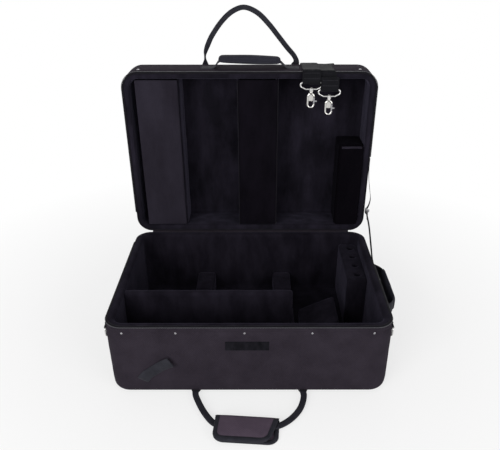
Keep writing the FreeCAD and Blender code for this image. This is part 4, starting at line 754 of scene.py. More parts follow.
# %% Web handle of the base
WEB_LEVEL, SPAN, REACH, PIVOT_Y, WEB_THICK = 6.5, 106, 92, -193, 3.6
SEWN_END = ((-112, 0.75, 23, 1.4), (-140, 0.75, 23, 1.4), (-168, 0.75, 22.5, 1.4), (-178, 1.0, 20, 1.8),
            (-185.5, 3.6, 16, 3.2))
RIGHT_LOOP = ((1, -0.02, 13, 0), (1.005, 0.10, 12.5, 10), (0.97, 0.30, 12.5, 4), (0.9, 0.50, 12.5, 0),
              (0.77, 0.71, 12.5, 0), (0.6, 0.88, 12.5, 0), (0.44, 0.955, 12, 0))
LEFT_LOOP = ((1, -0.02, 13, 0), (0.99, 0.08, 12.5, 8), (0.93, 0.26, 12.5, 3), (0.85, 0.46, 12.5, 0),
             (0.75, 0.66, 12.5, 0), (0.63, 0.84, 12.5, 0), (0.5, 0.94, 12, 0), (0.44, 0.96, 12, 0))


def web_side(side, loop):
    """Half of the handle from its sewn end to the grip; a loop's row is share, reach, width and twist."""
    rows = [(side * SPAN, y, z, width, thick, 0.0) for y, z, width, thick in SEWN_END]
    return rows + [(side * share * SPAN, PIVOT_Y - out * REACH, WEB_LEVEL, width, WEB_THICK, twist)
                   for share, out, width, twist in loop]


rows = flowing(web_side(1, RIGHT_LOOP) + web_side(-1, LEFT_LOOP)[::-1])
base_web = band("base_handle_webbing", rows, webbing, up=(0, 0, 1))
settle(base_web, None, "polyester_webbing", "base_handle_web", "base_handle_anchors")
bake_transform(base_web)
print("base web handle:", len(rows), "rows")

# %% Web handle of the lid
ROOT_X, ROOT_Z, RISE = 99, 546.5, 107
ARCH = ((-1, 0, 6.5, 70), (-1.0, 0.06, 5.5, 78), (-0.985, 0.15, 8.5, 35), (-0.94, 0.26, 11, 8),
        (-0.83, 0.46, 11, 0), (-0.6, 0.74, 11, 0), (-0.37, 0.92, 11, 0), (-0.12, 0.995, 10.5, 0),
        (0.16, 0.9, 11, 0), (0.4, 0.7, 11, 0), (0.64, 0.44, 11, 0), (0.84, 0.22, 11, 0), (0.97, 0.09, 11, 10),
        (1.03, 0.0, 11, 0))
rows = [(-99, 278.4, 446, 23, 1.6, 0), (-99, 278.4, 500, 23, 1.6, 0), (-99, 278.6, 522, 22, 1.8, 0),
        (-99, 279.2, 534, 16, 2.6, 10), (-99, 279.8, 541, 10, 3.4, 40)]
rows += [(x * ROOT_X, 279.8, ROOT_Z + z * RISE, width, 3.2, twist) for x, z, width, twist in ARCH]
rows += [(103, 279.6, 540, 14, 3.2, 0), (100, 279.0, 532, 19, 2.4, 0), (99, 278.5, 520, 22.5, 1.8, 0),
         (99, 278.4, 500, 23, 1.6, 0), (99, 278.4, 446, 23, 1.6, 0)]
lid_web = band("lid_handle_webbing", flowing(rows), webbing, up=(0, 1, 0))
settle(lid_web, None, "polyester_webbing", "lid_handle_web", "lid_handle_anchors")
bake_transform(lid_web)
print("lid web handle made")

# %% [markdown]
# ## Soft blocks
# Dividers, rests and boxes inside the case are foam cut to shape and covered in plush, so no edge is sharp and no
# face is flat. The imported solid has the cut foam's shape. A voxel remesh gives it even small faces, smoothing
# rounds its edges the way cloth does, and slow noise then makes the cover swell and dip.

# %% Helpers for soft blocks


def remeshed(piece, voxel_mm, material):
    """Replaces the piece's mesh by an even one with faces of about the told size."""
    step = piece.modifiers.new("even_faces", "REMESH")
    step.mode, step.voxel_size = "VOXEL", voxel_mm * MM
    graph = bpy.context.evaluated_depsgraph_get()
    data = bpy.data.meshes.new_from_object(piece.evaluated_get(graph))
    piece.modifiers.clear()
    piece.data = data
    data.polygons.foreach_set("use_smooth", [True] * len(data.polygons))
    return coated(piece, material)


def reshaped(piece, change):
    """Lets change work on the piece's mesh."""
    mesh = bmesh.new()
    mesh.from_mesh(piece.data)
    change(mesh)
    mesh.to_mesh(piece.data)
    mesh.free()
    return piece


def relaxed(piece, rounds):
    """Moves each point halfway to the middle of its neighbours, which rounds edges and keeps flats."""

    def smooth(mesh):
        for _ in range(rounds):
            bmesh.ops.smooth_vert(mesh, verts=mesh.verts, factor=0.5, use_axis_x=True, use_axis_y=True,
                                  use_axis_z=True)

    return reshaped(piece, smooth)


def ruffled(piece, rule):
    """Moves each point along its normal by what the rule gives in millimetres."""

    def shift(mesh):
        mesh.normal_update()
        moves = [(v, v.normal * rule(v.co / MM, v.normal) * MM) for v in mesh.verts]
        for v, move in moves:
            v.co += move

    return reshaped(piece, shift)


def swell_rule(slow, fine, seed, lift=0.0):
    return lambda spot, way: lift + slow * lumps(spot, 46, seed) + fine * lumps(spot, 15, seed + 3)


def soft_copy(name, node, material, seed, voxel_mm=3.0, lift=0.0):
    """A plush-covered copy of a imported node, rounded and a little uneven."""
    piece = remeshed(put(name, nodes[node].data.copy()), voxel_mm, material)
    return ruffled(relaxed(piece, 4), swell_rule(0.7, 0.3, seed, lift))


# %% [markdown]
# ## Inside the base
# A divider, low saddles and a sloped rest part the tray into bays, and a tall block at the right has four round
# holes in its top. All are foam blocks under the same plush as the lining.

# %% Blocks in the base
BLOCKS = (("divider_cushion", "center_divider", 0.8, 3.0),
          ("trumpet_saddle_cushions", "trumpet_saddles", 0.8, 3.0),
          ("flugelhorn_saddle_cushions", "flugelhorn_saddles", 0.8, 3.0),
          ("bell_rest_cushion", "bell_rest", 0.7, 3.0),
          ("mouthpiece_cushion", "mouthpiece_block", 0.85, 2.4))
for seed, (name, node, fill, voxel_mm) in enumerate(BLOCKS, 21):
    cushion = soft_copy(name, node, base_plush_painted_shade, seed, voxel_mm, lift=0.3)
    settle(cushion, "base", "plush_lining", node)
    print(name, len(cushion.data.vertices), "points")

# %% [markdown]
# ## Inside the lid
# Two tall flaps are stiff board under plush, hinged along their left edge over a compartment. The left one is
# faced with flat brushed tricot, and the middle one has a thin cord sewn along each side. At the lower right an
# upright box has a padded lid of its own.

# %% Flaps in the lid


def board(name, low, high, edge, cell, material, rule=None):
    """A covered board between two corners: a fine grid on all sides with its edges rolled over."""
    low, high = Vector(low), Vector(high)
    size = high - low
    counts = [max(2, round(size[k] / cell)) for k in range(3)]
    numbers, points, faces = {}, [], []

    def corner(key):
        if key not in numbers:
            spot = Vector([low[k] + size[k] * key[k] / counts[k] for k in range(3)])
            core = Vector([min(max(spot[k], low[k] + edge), high[k] - edge) for k in range(3)])
            if (spot - core).length > 1e-6:
                spot = core + (spot - core).normalized() * edge
            numbers[key] = len(points)
            points.append(spot)
        return numbers[key]

    for axis in range(3):
        a, b = (axis + 1) % 3, (axis + 2) % 3
        for end in (0, counts[axis]):
            for i in range(counts[a]):
                for j in range(counts[b]):
                    keys = []
                    for di, dj in ((0, 0), (1, 0), (1, 1), (0, 1)):
                        key = [0, 0, 0]
                        key[axis], key[a], key[b] = end, i + di, j + dj
                        keys.append(tuple(key))
                    faces.append([corner(key) for key in (keys if end else keys[::-1])])
    piece = mesh_piece(name, points, faces, material)
    return ruffled(piece, rule) if rule else piece


def flap_rule(seed, dent_level):
    """A flap's face swells slowly and has one faint dent across it."""

    def rule(spot, way):
        dent = 0.8 * math.exp(-((spot.z - dent_level + 5 * lumps(spot, 40, seed)) / 7) ** 2)
        return (0.5 * lumps(spot, 80, seed) + 0.25 * lumps(spot, 24, seed + 2) - dent) * max(-way.y, 0)

    return rule


FLAP_FRONT, FLAP_REAR, FLAP_LOW, FLAP_HIGH = 189.3, 195, 181.5, 521.5
FLAPS = (("left", -243.5, -152.5, brushed_tricot, 31, 430), ("middle", -26.5, 61.5, still_plush, 32, 428))
for word, left, right, cloth, seed, dent_level in FLAPS:
    low, high = (left, FLAP_FRONT, FLAP_LOW), (right, FLAP_REAR, FLAP_HIGH)
    flap = board(word + "_flap_cushion", low, high, 2.4, 4.0, cloth, flap_rule(seed, dent_level))
    settle(flap, word + "_cover", "plush_lining", word + "_cover")
for x, side in ((-25.6, "left"), (60.6, "right")):
    rows = [(x + 0.5 * lumps((0, 0, z), 50, 3), 189.6, z, 1.8, 1.8, 0) for z in range(183, 521, 6)]
    cord = band("flap_piping_" + side, rows, grosgrain, across=(1, 0, 0), section=ROUND_SECTION)
    settle(cord, "middle_cover", "bound_edge")
print(len(FLAPS), "flaps made")

# %% Partitions and box in the lid
partitions = soft_copy("lid_divider_cushions", "lid_partitions", plush, 33)
settle(partitions, "lid", "plush_lining", "lid_partitions")
# The box and its lid wear the near-black plush, which paints the shade on their front.
small_box = soft_copy("accessory_box_cushion", "accessory_box", painted_shade_plush, 34)
settle(small_box, "lid", "plush_lining", "accessory_box")
box_lid = board("box_lid_cushion", (201.8, 188.4, 181.2), (254.4, 196.4, 376.0), 3.4, 3.2, painted_shade_plush,
                swell_rule(0.6, 0.3, 35, 0.2))
settle(box_lid, "accessory_box_lid", "plush_lining", "accessory_box_lid")
# A round roll along the box lid's top edge, in the lighter tricot: the roll is a real rounded edge, and its lighter
# cloth paints the highlight that edge catches.
rows = [(x, 190.4 + 0.5 * lumps((x, 0, 0), 12, 36), 373.0 + 0.6 * lumps((x, 9, 0), 16, 37), 5.6, 5.6, 0)
        for x in range(205, 252, 3)]
box_roll_painted_highlight = band("box_lid_roll_painted_highlight", rows, brushed_tricot, up=(0, -1, 0), section=ROUND_SECTION)
settle(box_roll_painted_highlight, "accessory_box_lid", "plush_lining")
print("lid filled")

# %% [markdown]
# ## Front patch and loose tab
# The front carries a rectangle of rough loop cloth, left bare here. Low on its left a short strap is sewn on at a
# slant, and its upper end curls off the cover, so it throws a small shadow.

# %% Front patch and loose tab


def laid_on(piece, left, right):
    """Shifts a piece on the front as the base's cover swells under it, looking only between left and right."""
    tree = BVHTree.FromObject(covers["base"], bpy.context.evaluated_depsgraph_get())
    for v in piece.data.vertices:
        before_it = Vector((min(max(v.co.x, left * MM), right * MM), -0.25, v.co.z))
        hit = tree.ray_cast(before_it, Vector((0, 1, 0)))[0]
        if hit:
            v.co.y += hit.y + DEPTH / 2 * MM
    return piece


loop_cloth = velour("loop_cloth", "#0b0b0e", "#1b1a1f", 0.08, 9)
patch = board("loop_cloth_patch", (-44.5, -187.2, 109.6), (37.5, -185.4, 130), 0.7, 1.6, loop_cloth,
              swell_rule(0.12, 0.14, 41))
settle(laid_on(patch, -60, 60), "base", "ballistic_nylon", "front_patch")

TAB_X, TAB_Z, TAB_TURN, TAB_LONG, TAB_SEWN = -209, 41, math.radians(37), 76, 44
TAB_FACE, TAB_CURL, TAB_DROOP, TAB_SIZE, TAB_STEPS = -186.9, 7.6, 5, (23, 1.4), 28
rows = []
for step in range(TAB_STEPS + 1):
    along = TAB_LONG * step / TAB_STEPS
    curl = max(along - TAB_SEWN, 0) / (TAB_LONG - TAB_SEWN)
    droop = TAB_DROOP * max(1 - along / 22, 0) ** 2
    x = TAB_X + along * math.cos(TAB_TURN) + droop * 0.4
    y = TAB_FACE - TAB_CURL * curl ** 1.7 - 0.3 * lumps((along, 0, 0), 18, 7)
    z = TAB_Z + along * math.sin(TAB_TURN) - droop
    rows.append((x, y, z, *TAB_SIZE, -7 * curl))
loose_tab = laid_on(band("loose_tab", rows, webbing, up=(0, -1, 0)), -230, -130)
settle(loose_tab, "base", "polyester_webbing", "front_tab")
print("patch and tab made")

# %% [markdown]
# ## Ring tabs
# Each end wall has a wire ring. A short webbing tab is sewn to the wall, goes round the ring's bar and lies back
# over itself.

# %% Ring tabs
RING_Y, RING_Z = -148, 138.66
RING_PATH = ((0.9, 12), (0.9, 6), (0.9, -0.5), (1.9, -2.6), (3.6, -3.2), (5.3, -2.6), (6.2, -0.4), (5.4, 3),
             (3.4, 7), (2.7, 12))
SIDES = ((-1, "left"), (1, "right"))
for side, word in SIDES:
    rows = [(side * (LENGTH / 2 + out), RING_Y, RING_Z + up, 20, 1.5, 0) for out, up in RING_PATH]
    tab = band(word + "_ring_webbing", flowing(rows, 1.2), webbing, across=(0, side, 0))
    settle(tab, "base", "polyester_webbing", word + "_ring_tab")
print("ring tabs made")

# %% [markdown]
# ## Padded handles
# A flat strap is sewn to the case at both ends and rises to run through a padded sleeve. The sleeve is two layers
# of nylon over a strip of foam, so it is crowned, its sides draw in between its corners and its long seams show.
# Blender's cloth swells the foam's shape a little, and the seams are added as piping after that.

# %% Swelling by cloth
CLOTH_STEPS = 20


def swollen(piece, cap_mm, pressure=4.0):
    """Blows the closed piece up as cloth for twenty steps, and lets no point move further than the cap."""
    cloth = piece.modifiers.new("swell", "CLOTH")
    cloth.settings.use_pressure = True
    cloth.settings.uniform_pressure_force = pressure
    cloth.settings.effector_weights.gravity = 0
    cloth.settings.quality = 4
    cloth.point_cache.frame_start, cloth.point_cache.frame_end = 1, CLOTH_STEPS
    for step in range(1, CLOTH_STEPS + 1):
        bpy.context.scene.frame_set(step)
    graph = bpy.context.evaluated_depsgraph_get()
    after = [v.co.copy() for v in piece.evaluated_get(graph).data.vertices]
    piece.modifiers.clear()
    bpy.context.scene.frame_set(1)
    for v, end in zip(piece.data.vertices, after):
        move = end - v.co
        if move.length > cap_mm * MM:
            move *= cap_mm * MM / move.length
        v.co += move
    finer = piece.modifiers.new("finer", "SUBSURF")
    finer.levels = finer.render_levels = 1
    return piece


# %% Sleeve of a padded handle
SLEEVE_STEPS, SLEEVE_ROUND, SLEEVE_WIDE = 32, 24, 17.5
SEAM_STEPS, SEAM_REACH, SEAM_THICK = 40, 0.96, 1.7


def waist(share):
    """The sleeve's width between its ends, where share goes from -1 to 1."""
    return 1 - 0.05 * math.cos(math.pi * share / 2) * (1 - abs(share))


def sleeve(name, half_long, half_thick, spot, along, over):
    """A crowned sleeve with round ends; over points away from the case."""
    along, over = Vector(along), Vector(over)
    aside = over.cross(along)
    rings = []
    for step in range(SLEEVE_STEPS + 1):
        share = -1 + 2 * step / SLEEVE_STEPS
        taper = (1 - abs(share) ** 16) ** 0.5
        wide = SLEEVE_WIDE * (0.82 + 0.18 * taper) * waist(share)
        thick = half_thick * (0.6 + 0.4 * taper)
        ring = []
        for k in range(SLEEVE_ROUND):
            turn = 2 * math.pi * k / SLEEVE_ROUND
            c, s = math.cos(turn), math.sin(turn)
            a, b = math.copysign(abs(c) ** 0.45, c) * wide, math.copysign(abs(s) ** 0.6, s) * thick
            ring.append(Vector(spot) + along * (share * half_long) + aside * a + over * b)
        rings.append(ring)
    return relaxed(remeshed(lofted(name, rings, pad_nylon), 3.2, pad_nylon), 2)


def sleeve_seams(name, half_long, half_wide, spot, along, over, body):
    """A turned seam down each long side of the sleeve."""
    along, over = Vector(along), Vector(over)
    aside = over.cross(along)
    for side, word in ((-1, "a"), (1, "b")):
        rows = []
        for step in range(SEAM_STEPS + 1):
            share = -SEAM_REACH + 2 * SEAM_REACH * step / SEAM_STEPS
            out = half_wide * waist(share) * (1 - 0.3 * max(abs(share) - 0.86, 0) / 0.1)
            proud = 0.25 * lumps((share * 60, side, 0), 9, 5)
            p = Vector(spot) + along * (share * half_long) + aside * (side * out) + over * proud
            rows.append((*p, SEAM_THICK, SEAM_THICK, 0))
        seam = band(name + "_seam_" + word, rows, pad_nylon, up=over, section=ROUND_SECTION)
        settle(seam, body, "ballistic_nylon")


# %% Padded handles
PAD_Y, PAD_LEVEL, SWELL_CAP = 229.8, 122, 2.2
LID_STRAP = ((-105, 538.4), (-92, 538.4), (-82, 538.7), (-75, 540.5), (-71, 546), (-66, 552), (-58, 554.6),
             (-30, 554.7), (0, 554.3), (30, 553.7), (58, 553), (67, 550), (73, 544.5), (79, 539.8), (88, 538.6),
             (97, 538.4), (106, 538.4))
END_STRAP = ((-109, 271), (-98, 271), (-88, 273.5), (-78, 282), (-69, 291), (-58, 296.6), (-30, 297.1),
             (0, 297.3), (30, 297.1), (58, 296.4), (69, 290.5), (79, 281.5), (89, 273), (99, 271), (110, 271))
# name, body, strap's path and upper side, sleeve's half length and half thickness, half the width between its
# seams, the middles of the sleeve and of the seams, the way along the handle and the way off the case
HANDLES = (("lid", "lid", [(x, PAD_Y, z) for x, z in LID_STRAP], (0, 0, 1), 67, 6.6, 18.7,
            (0, PAD_Y, 555.6), (0, PAD_Y, 557.4), (0.9996, 0, -0.026), (0.026, 0, 0.9996)),
           ("end", "base", [(x, y, PAD_LEVEL) for y, x in END_STRAP], (1, 0, 0), 59, 5.2, 18.6,
            (297.1, 0, PAD_LEVEL), (296.8, 0, PAD_LEVEL), (0, 1, 0), (1, 0, 0)))
for word, body, path, up, half_long, half_thick, seam_wide, spot, seam_spot, along, over in HANDLES:
    strap = band(word + "_pad_strap", flowing([(*p, 30, 1.9, 0) for p in path]), webbing, up=up)
    settle(strap, body, "polyester_webbing", word + "_handle_strap")
    pad = swollen(sleeve(word + "_pad_sleeve", half_long, half_thick, spot, along, over), SWELL_CAP)
    settle(pad, body, "ballistic_nylon", word + "_handle_pad")
    sleeve_seams(word + "_pad", half_long, seam_wide, seam_spot, along, over, body)
    print(word, "handle:", len(pad.data.vertices), "points")

# %% [markdown]
# ## Grip wrap
# A padded leaf lies under the web handle, folds up behind it and closes over it with a flap. Both leaves are
# nylon with a wide webbing binding round three sides, turned at the two front corners. The wrap hangs a little
# askew. The flap opens on its fold.

# %% Shape of a leaf
GRIP_LEFT, GRIP_RIGHT, GRIP_FRONT, GRIP_REAR = -64, 54, -322, -259
GRIP_MIDDLE, GRIP_ROUND = Vector((-5, -290.5, 0)), 19
GRIP_SLANT = Matrix.Rotation(math.radians(-4.4), 3, "Z")
UNDER_DEEP, FLAP_DEEP, FLAP_DRAWN = 0.89, 0.95, 0.14
BINDING_WIDE, LEAF_THICK, FOLD_NEAR, FOLD_FALL = 8, 3.4, 7, 5.5


def slanted(spot, drawn=0.0):
    """Turns a point a little about the wrap's middle; drawn is how far the front's right corner comes in."""
    x, y, z = spot
    x = GRIP_LEFT + (x - GRIP_LEFT) * (1 - drawn * (GRIP_REAR - y) / (GRIP_REAR - GRIP_FRONT))
    y = GRIP_REAR - (GRIP_REAR - y) * (FLAP_DEEP if drawn else UNDER_DEEP)
    return GRIP_MIDDLE + GRIP_SLANT @ (Vector((x, y, z)) - GRIP_MIDDLE)


def leaf_outline(inset):
    """The leaf seen from above, from its rear left corner round the front to its rear right corner."""
    left, right, front = GRIP_LEFT + inset, GRIP_RIGHT - inset, GRIP_FRONT + inset
    radius = max(GRIP_ROUND - inset, 4)
    turns = [math.radians(a) for a in range(0, 91, 15)]
    line = [(left, GRIP_REAR + (front + radius - GRIP_REAR) * s / 12) for s in range(12)]
    line += [(left + radius * (1 - math.cos(a)), front + radius * (1 - math.sin(a))) for a in turns]
    line += [(left + radius + (right - left - 2 * radius) * s / 24, front) for s in range(1, 24)]
    line += [(right - radius * (1 - math.sin(a)), front + radius * (1 - math.cos(a))) for a in turns]
    return line + [(right, front + radius + (GRIP_REAR - front - radius) * s / 12) for s in range(1, 13)]


def leaf_height(x, y, level, crown):
    """Height of the leaf's upper face: domed in the middle and rolled down at the fold behind."""
    inset = min(x - GRIP_LEFT, GRIP_RIGHT - x, y - GRIP_FRONT)
    behind = max(y - (GRIP_REAR - FOLD_NEAR), 0) / FOLD_NEAR
    fall = (1 - math.sqrt(max(1 - min(behind, 1) ** 2, 0))) * FOLD_FALL * (crown > 0)
    wave = 0.5 * lumps((x, y, level), 34, 51)
    return level + LEAF_THICK / 2 + (crown + wave) * (1 - math.exp(-max(inset, 0) / 7)) - fall


def leaf(name, level, crown):
    """One padded leaf, a board whose front corners are turned round and whose upper face is domed."""
    low, high = level - LEAF_THICK / 2, level + LEAF_THICK / 2
    piece = board(name, (GRIP_LEFT, GRIP_FRONT, low), (GRIP_RIGHT, GRIP_REAR, high), LEAF_THICK / 2 - 0.1, 2.6,
                  grip_nylon)
    for v in piece.data.vertices:
        x, y, z = v.co / MM
        raised = leaf_height(x, y, level, crown) - high
        for side, corner in ((-1, GRIP_LEFT), (1, GRIP_RIGHT)):
            cx, cy = corner - side * GRIP_ROUND, GRIP_FRONT + GRIP_ROUND
            s, t = (x - cx) * side / GRIP_ROUND, (cy - y) / GRIP_ROUND
            if s > 0 and t > 0:
                x = cx + side * GRIP_ROUND * s * math.sqrt(1 - min(t, 1) ** 2 / 2)
                y = cy - GRIP_ROUND * t * math.sqrt(1 - min(s, 1) ** 2 / 2)
        v.co = slanted((x, y, z + raised * (z - low) / LEAF_THICK), FLAP_DRAWN if crown else 0.0) * MM
    return piece


def leaf_binding(name, level, crown):
    """Webbing folded over the leaf's edge; each line has an inset, a side of the leaf and how proud it is."""
    wide, outer = BINDING_WIDE, 5
    lines = [(wide, 1, 0.15), (wide, 1, 0.75), (5, 1, 1.0), (2, 1, 1.05), (0.3, 1, 0.8), (-0.9, 0, 0),
             (0.3, -1, 0.8), (2, -1, 1.0), (5, -1, 0.9), (wide, -1, 0.65), (wide, -1, 0.1)]
    outlines = [leaf_outline(inset) for inset, _, _ in lines]
    rings, uvs, run = [], [], 0.0
    for k in range(len(outlines[0])):
        ring = []
        for (_, side, proud), line in zip(lines, outlines):
            x, y = line[k]
            z = level
            if side > 0:
                z = leaf_height(x, y, level, crown) + proud * 0.8
            elif side < 0:
                z = level - LEAF_THICK / 2 - proud * 0.35
            ring.append(slanted((x, y, z), FLAP_DRAWN if crown else 0.0))
        run += (ring[outer] - rings[-1][outer]).length if k else 0.0
        rings.append(ring)
        uvs += [(run * MM, across * 1.6 * MM) for across in range(len(lines))]
    return lofted(name, rings, webbing, uvs)


# %% Grip wrap
LEAVES = (("under", 2.6, 0.0, "base_handle", "base_handle_wrap"), ("over", 10.6, 2.4, None, "base_handle_flap"))
for word, level, crown, body, node in LEAVES:
    pad = settle(leaf(f"grip_{word}_leaf", level, crown), body, "ballistic_nylon", node)
    edging = settle(leaf_binding(f"grip_{word}_binding", level, crown), body, "polyester_webbing")
    for piece in (pad, edging) if body is None else ():
        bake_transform(piece)

FOLD_PROFILE = ((-261.6, 12.0), (-259.4, 10.6), (-258.6, 8.0), (-258.6, 5.0), (-259.4, 2.4), (-261.6, 1.1),
                (-263.6, 1.2), (-261.6, 3.0), (-260.8, 5.2), (-260.8, 8.0), (-261.6, 9.8), (-263.2, 10.8))
FOLD_STEPS, FOLD_IN = 40, 0.6
rings = []
for step in range(FOLD_STEPS + 1):
    x = GRIP_LEFT + FOLD_IN + (GRIP_RIGHT - GRIP_LEFT - 2 * FOLD_IN) * step / FOLD_STEPS
    rings.append([slanted((x, y + 0.35 * lumps((x, y, z), 22, 52), z)) for y, z in FOLD_PROFILE])
settle(lofted("grip_fold", rings, grip_nylon), "base_handle", "ballistic_nylon")
print("grip wrap made")

# %% [markdown]
# ## Shoulder strap
# One long strap lies over the lid's top edge. Each of its ends is folded round the bar of a wire frame and sewn
# to itself. Behind the lid the two runs draw together into a folded shoulder pad, and the right one passes
# through a plastic length adjuster. When the lid closes, the loose strap is pressed flat.

# %% Shoulder strap
STRAP_WIDE, STRAP_THICK = 38, 1.8
STRAP_NEAR, STRAP_FRONT = 180.9, 186.6
STRAP_ENDS = (("left", "a", 130, 518), ("right", "b", 168.6, 503))
LAID = {"left": (1.0, 0, 0), "right": (-1.1, -8, 1.2)}
BEHIND = {
    "left": [(130, 279.4, 460), (130, 279.4, 412), (134, 280.4, 380), (142, 282.0, 340), (148.5, 283.2, 303),
             (149.3, 283.2, 290)],
    "right": [(168.6, 279.4, 462), (168.6, 280.2, 449), (168.6, 284.6, 440), (168.6, 285, 436),
              (168.6, 284.6, 432), (168.6, 280.2, 423), (168.6, 279.5, 410), (164, 282.5, 372), (156, 289.5, 335),
              (150.5, 295.6, 303), (149.6, 296.2, 290)]}


def strap_run(name, x, bar, rows_behind, over, beside, back):
    """From the folded end at a frame's bar, over the lid's edge and down behind it.

    over lifts the run on the lid's edge, beside slides it along and back lays its front nearer the lid."""
    line = [(STRAP_NEAR, bar + 26), (STRAP_NEAR - 0.2, bar + 10), (STRAP_NEAR, bar), (181.8, bar - 2.1),
            (183.7, bar - 2.9), (185.7, bar - 2.1), (STRAP_FRONT, bar), (STRAP_FRONT + 0.2, bar + 8),
            (STRAP_FRONT + 0.1, 530 + over), (STRAP_FRONT + 0.4, 538 + over), (188.6, 541.2 + over),
            (194, 541.8 + over), (203, 541 + over), (214, 539.7 + over), (240, 539.5 + over),
            (262, 539.6 + over), (270.5, 538.6 + over), (276.5, 533.5), (279.6, 525), (279.6, 500)]
    rows = []
    for k, (y, z) in enumerate(line):
        slid = min(max(k - 6, 0) / 3, 1) * min(max(17 - k, 0) / 3, 1)
        rows.append((x + beside * slid, y + (back if 8 <= k <= 11 else 0.0), z, STRAP_WIDE, STRAP_THICK, 0))
    rows += [(*p, STRAP_WIDE, STRAP_THICK, 0) for p in rows_behind]
    piece = band(name, flowing(rows, 2.2), strap_web, across=(-1, 0, 0))
    return ruffled(piece, lambda spot, way: 0.35 * lumps((spot.x, spot.y * 2, spot.z * 2), 15, 61))


for word, _, x, bar in STRAP_ENDS:
    strap = strap_run("shoulder_strap_" + word, x, bar, BEHIND[word], *LAID[word])
    settle(strap, "lid", "polyester_webbing", *(["strap_webbing"] if word == "left" else []))
    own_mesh(strap)
print("strap made")

# %% Shoulder pad
PAD_FOLD = ((282.8, 300), (282.6, 270), (282.6, 200), (282.8, 175), (284.4, 162), (289, 158.2), (293.6, 162),
            (295.2, 175), (295.4, 200), (295.4, 270), (295.2, 300))
rows = flowing([(149.3, y, z, 60, 7.4, 0) for y, z in PAD_FOLD])
strap_pad = band("shoulder_pad", rows, nylon, across=(1, 0, 0))
swollen(relaxed(remeshed(strap_pad, 3.0, nylon), 3), 1.6, 3.0)
settle(strap_pad, "lid", "ballistic_nylon", "strap_pad")
print("shoulder pad made")

# %% [markdown]
# ## Snap hooks
# Each hook is a zinc casting: a turned post that swivels in its frame, a grooved collar, and a bow with one side
# open for the gate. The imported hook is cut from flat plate. The bow drawn here is round and thinner towards its
# tip, so it shows a bright line between two dark edges, as a cast hook does. A hollowed back plate closes the top
# of the bow, behind the gate, and leaves the lower half free for a ring.

# %% Snap hooks
HOOK_Y, HOOK_DOWN = 183.75, 17.4
BOW_ROUND, BOW_HIGH, BOW_LOW, BOW_THICK, BOW_THINNED = 6.5, -12.5, -28.5, 4.6, 0.8
BACK_DOWN, BACK_TALL, BACK_HALF, BACK_NEAR, BACK_FAR, BACK_HOLLOW = 4.6, 18, 7, 2, 3.6, 0.8
POST = ((0.01, -6.2), (2.4, -5.8), (3.4, -4.6), (4.2, -3.3), (4.2, -2.5), (3.5, -2.0), (3.5, -1.7), (4.2, -1.2),
        (4.2, -0.4), (3.8, 0.0), (2.1, 0.05), (2.1, 6.33), (3.3, 6.4), (3.3, 6.9), (2.6, 7.28), (0.01, 7.35))
POST_TURNS = [2 * math.pi * k / 24 for k in range(24)]


def bow_arc(middle, start):
    """Half a turn of the bow, in steps of fifteen degrees."""
    turns = [math.radians(start + 15 * k) for k in range(13)]
    return [(BOW_ROUND * math.cos(t), middle + BOW_ROUND * math.sin(t)) for t in turns]


bow_line = bow_arc(BOW_HIGH, 0) + [(-BOW_ROUND, (BOW_HIGH + BOW_LOW) / 2)] + bow_arc(BOW_LOW, 180)
bow_line.append((BOW_ROUND, BOW_LOW + 0.9))
for _, letter, x, bar in STRAP_ENDS:
    hook, foot = "hook_" + letter, bar - HOOK_DOWN
    middle = Vector((x, HOOK_Y, foot))
    rings = [[middle + Vector((r * math.cos(t), r * math.sin(t), up)) for t in POST_TURNS] for r, up in POST]
    settle(lofted(hook + "_post", rings, nickel), hook, "nickel_plate", hook)
    rows = []
    for k, (aside, up) in enumerate(bow_line):
        thick = BOW_THICK - BOW_THINNED * k / len(bow_line)
        rows.append((x + aside, HOOK_Y, foot + up, thick, thick, 0))
    bow = band(hook + "_bow", flowing(rows, 1.2), nickel, up=(0, -1, 0), section=ROUND_SECTION)
    settle(bow, hook, "nickel_plate")
    high = foot - BACK_DOWN
    back = board(hook + "_back", (x - BACK_HALF, HOOK_Y + BACK_NEAR, high - BACK_TALL),
                 (x + BACK_HALF, HOOK_Y + BACK_FAR, high), 0.5, 1.0, nickel)
    for v in back.data.vertices:
        aside, down = v.co.x / MM - x, (high - v.co.z / MM) / BACK_TALL
        v.co.x = (x + aside * (1 - 0.3 * down) * min(1, 0.62 + 2.2 * down)) * MM
        v.co.y += BACK_HOLLOW * (1 - (aside / BACK_HALF) ** 2) * MM
    settle(back, hook, "nickel_plate")

# %% [markdown]
# ## Stitching
# Seams that hold a load are sewn with thick thread, and a row of single stitches shows beside each edge. Each
# stitch is a short bead with pointed ends that dips into the cloth at both sides.

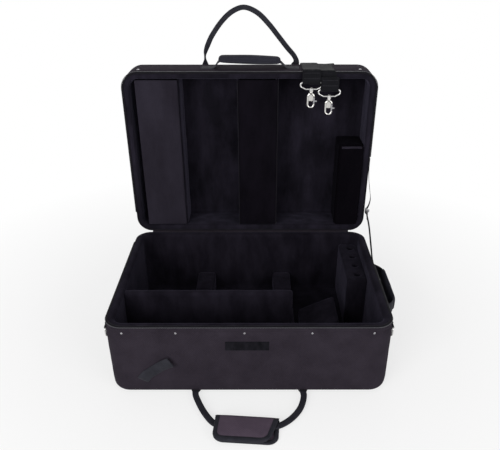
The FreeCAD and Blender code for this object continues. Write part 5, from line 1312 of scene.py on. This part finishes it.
# %% Stitch rows
STITCH, STEP = 2.4, 3.6
STRAP_FACE, RING_TAB_FACE, PAD_STRAP_TOP = 179.9, 274.2, 539.5
BEAD = ((-0.5, 0.02), (-0.3, 0.3), (0, 0.4), (0.3, 0.3), (0.5, 0.02))


def stitches(name, middle, half, over, body):
    """A row of stitches through a place, as long as half to each side; over points out of the cloth."""
    start, end, over = Vector(middle) - Vector(half), Vector(middle) + Vector(half), Vector(over)
    way = (end - start).normalized()
    aside = over.cross(way).normalized()
    points, faces, along = [], [], STEP / 2
    while along <= (end - start).length:
        bead = []
        for at, wide in BEAD:
            arch = start + way * along + way * (at * STITCH) + over * (0.16 - 0.9 * at * at)
            bead.append([arch + aside * wide, arch + over * wide, arch - aside * wide, arch - over * wide])
        faces += [[len(points) + i for i in face] for face in bridged(bead)]
        points += joined(bead)
        along += STEP
    settle(mesh_piece(name, points, faces, thread), body, "polyester_webbing")


for word, _, x, bar in STRAP_ENDS:
    for level in (bar + 9, bar + 20):
        stitches(f"strap_{word}_stitch_{level:.0f}", (x, STRAP_FACE, level), (16, 0, 0), (0, -1, 0), "lid")
for side, word in SIDES:
    middle = (side * RING_TAB_FACE, RING_Y, RING_Z + 10)
    stitches(word + "_ring_stitch", middle, (0, 8, 0), (side, 0, 0), "base")
for x in (-100, 101):
    for dx in (-11, 11):
        middle = (x + dx * 0.4, PAD_Y, PAD_STRAP_TOP)
        stitches(f"lid_pad_stitch_{x + dx}", middle, (0, 12, 0), (0, 0, 1), "lid")
print("stitches made")

# %% [markdown]
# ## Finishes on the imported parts
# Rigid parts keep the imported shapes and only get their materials. The foam trays are hidden between cover and
# lining, but they get foam's own finish too, in case a seam gapes.

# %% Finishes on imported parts
finishes = {
    # The darker nickel here is painted dark reflection.
    nickel_painted_dark_reflection: ("gate_a", "gate_b", "base_nails", "lid_nails", "zipper_slider", "zipper_pull"),
    steel_wire: ("left_ring", "right_ring", "hook_frame_a", "hook_frame_b"),
    acetal: ("strap_buckle",),
    foam_sheet: ("base_foam_tray", "lid_foam_tray"),
}
for finish, names in finishes.items():
    for node in names:
        coated(nodes[node], finish)
print("packed parts finished:", sum(len(names) for names in finishes.values()))
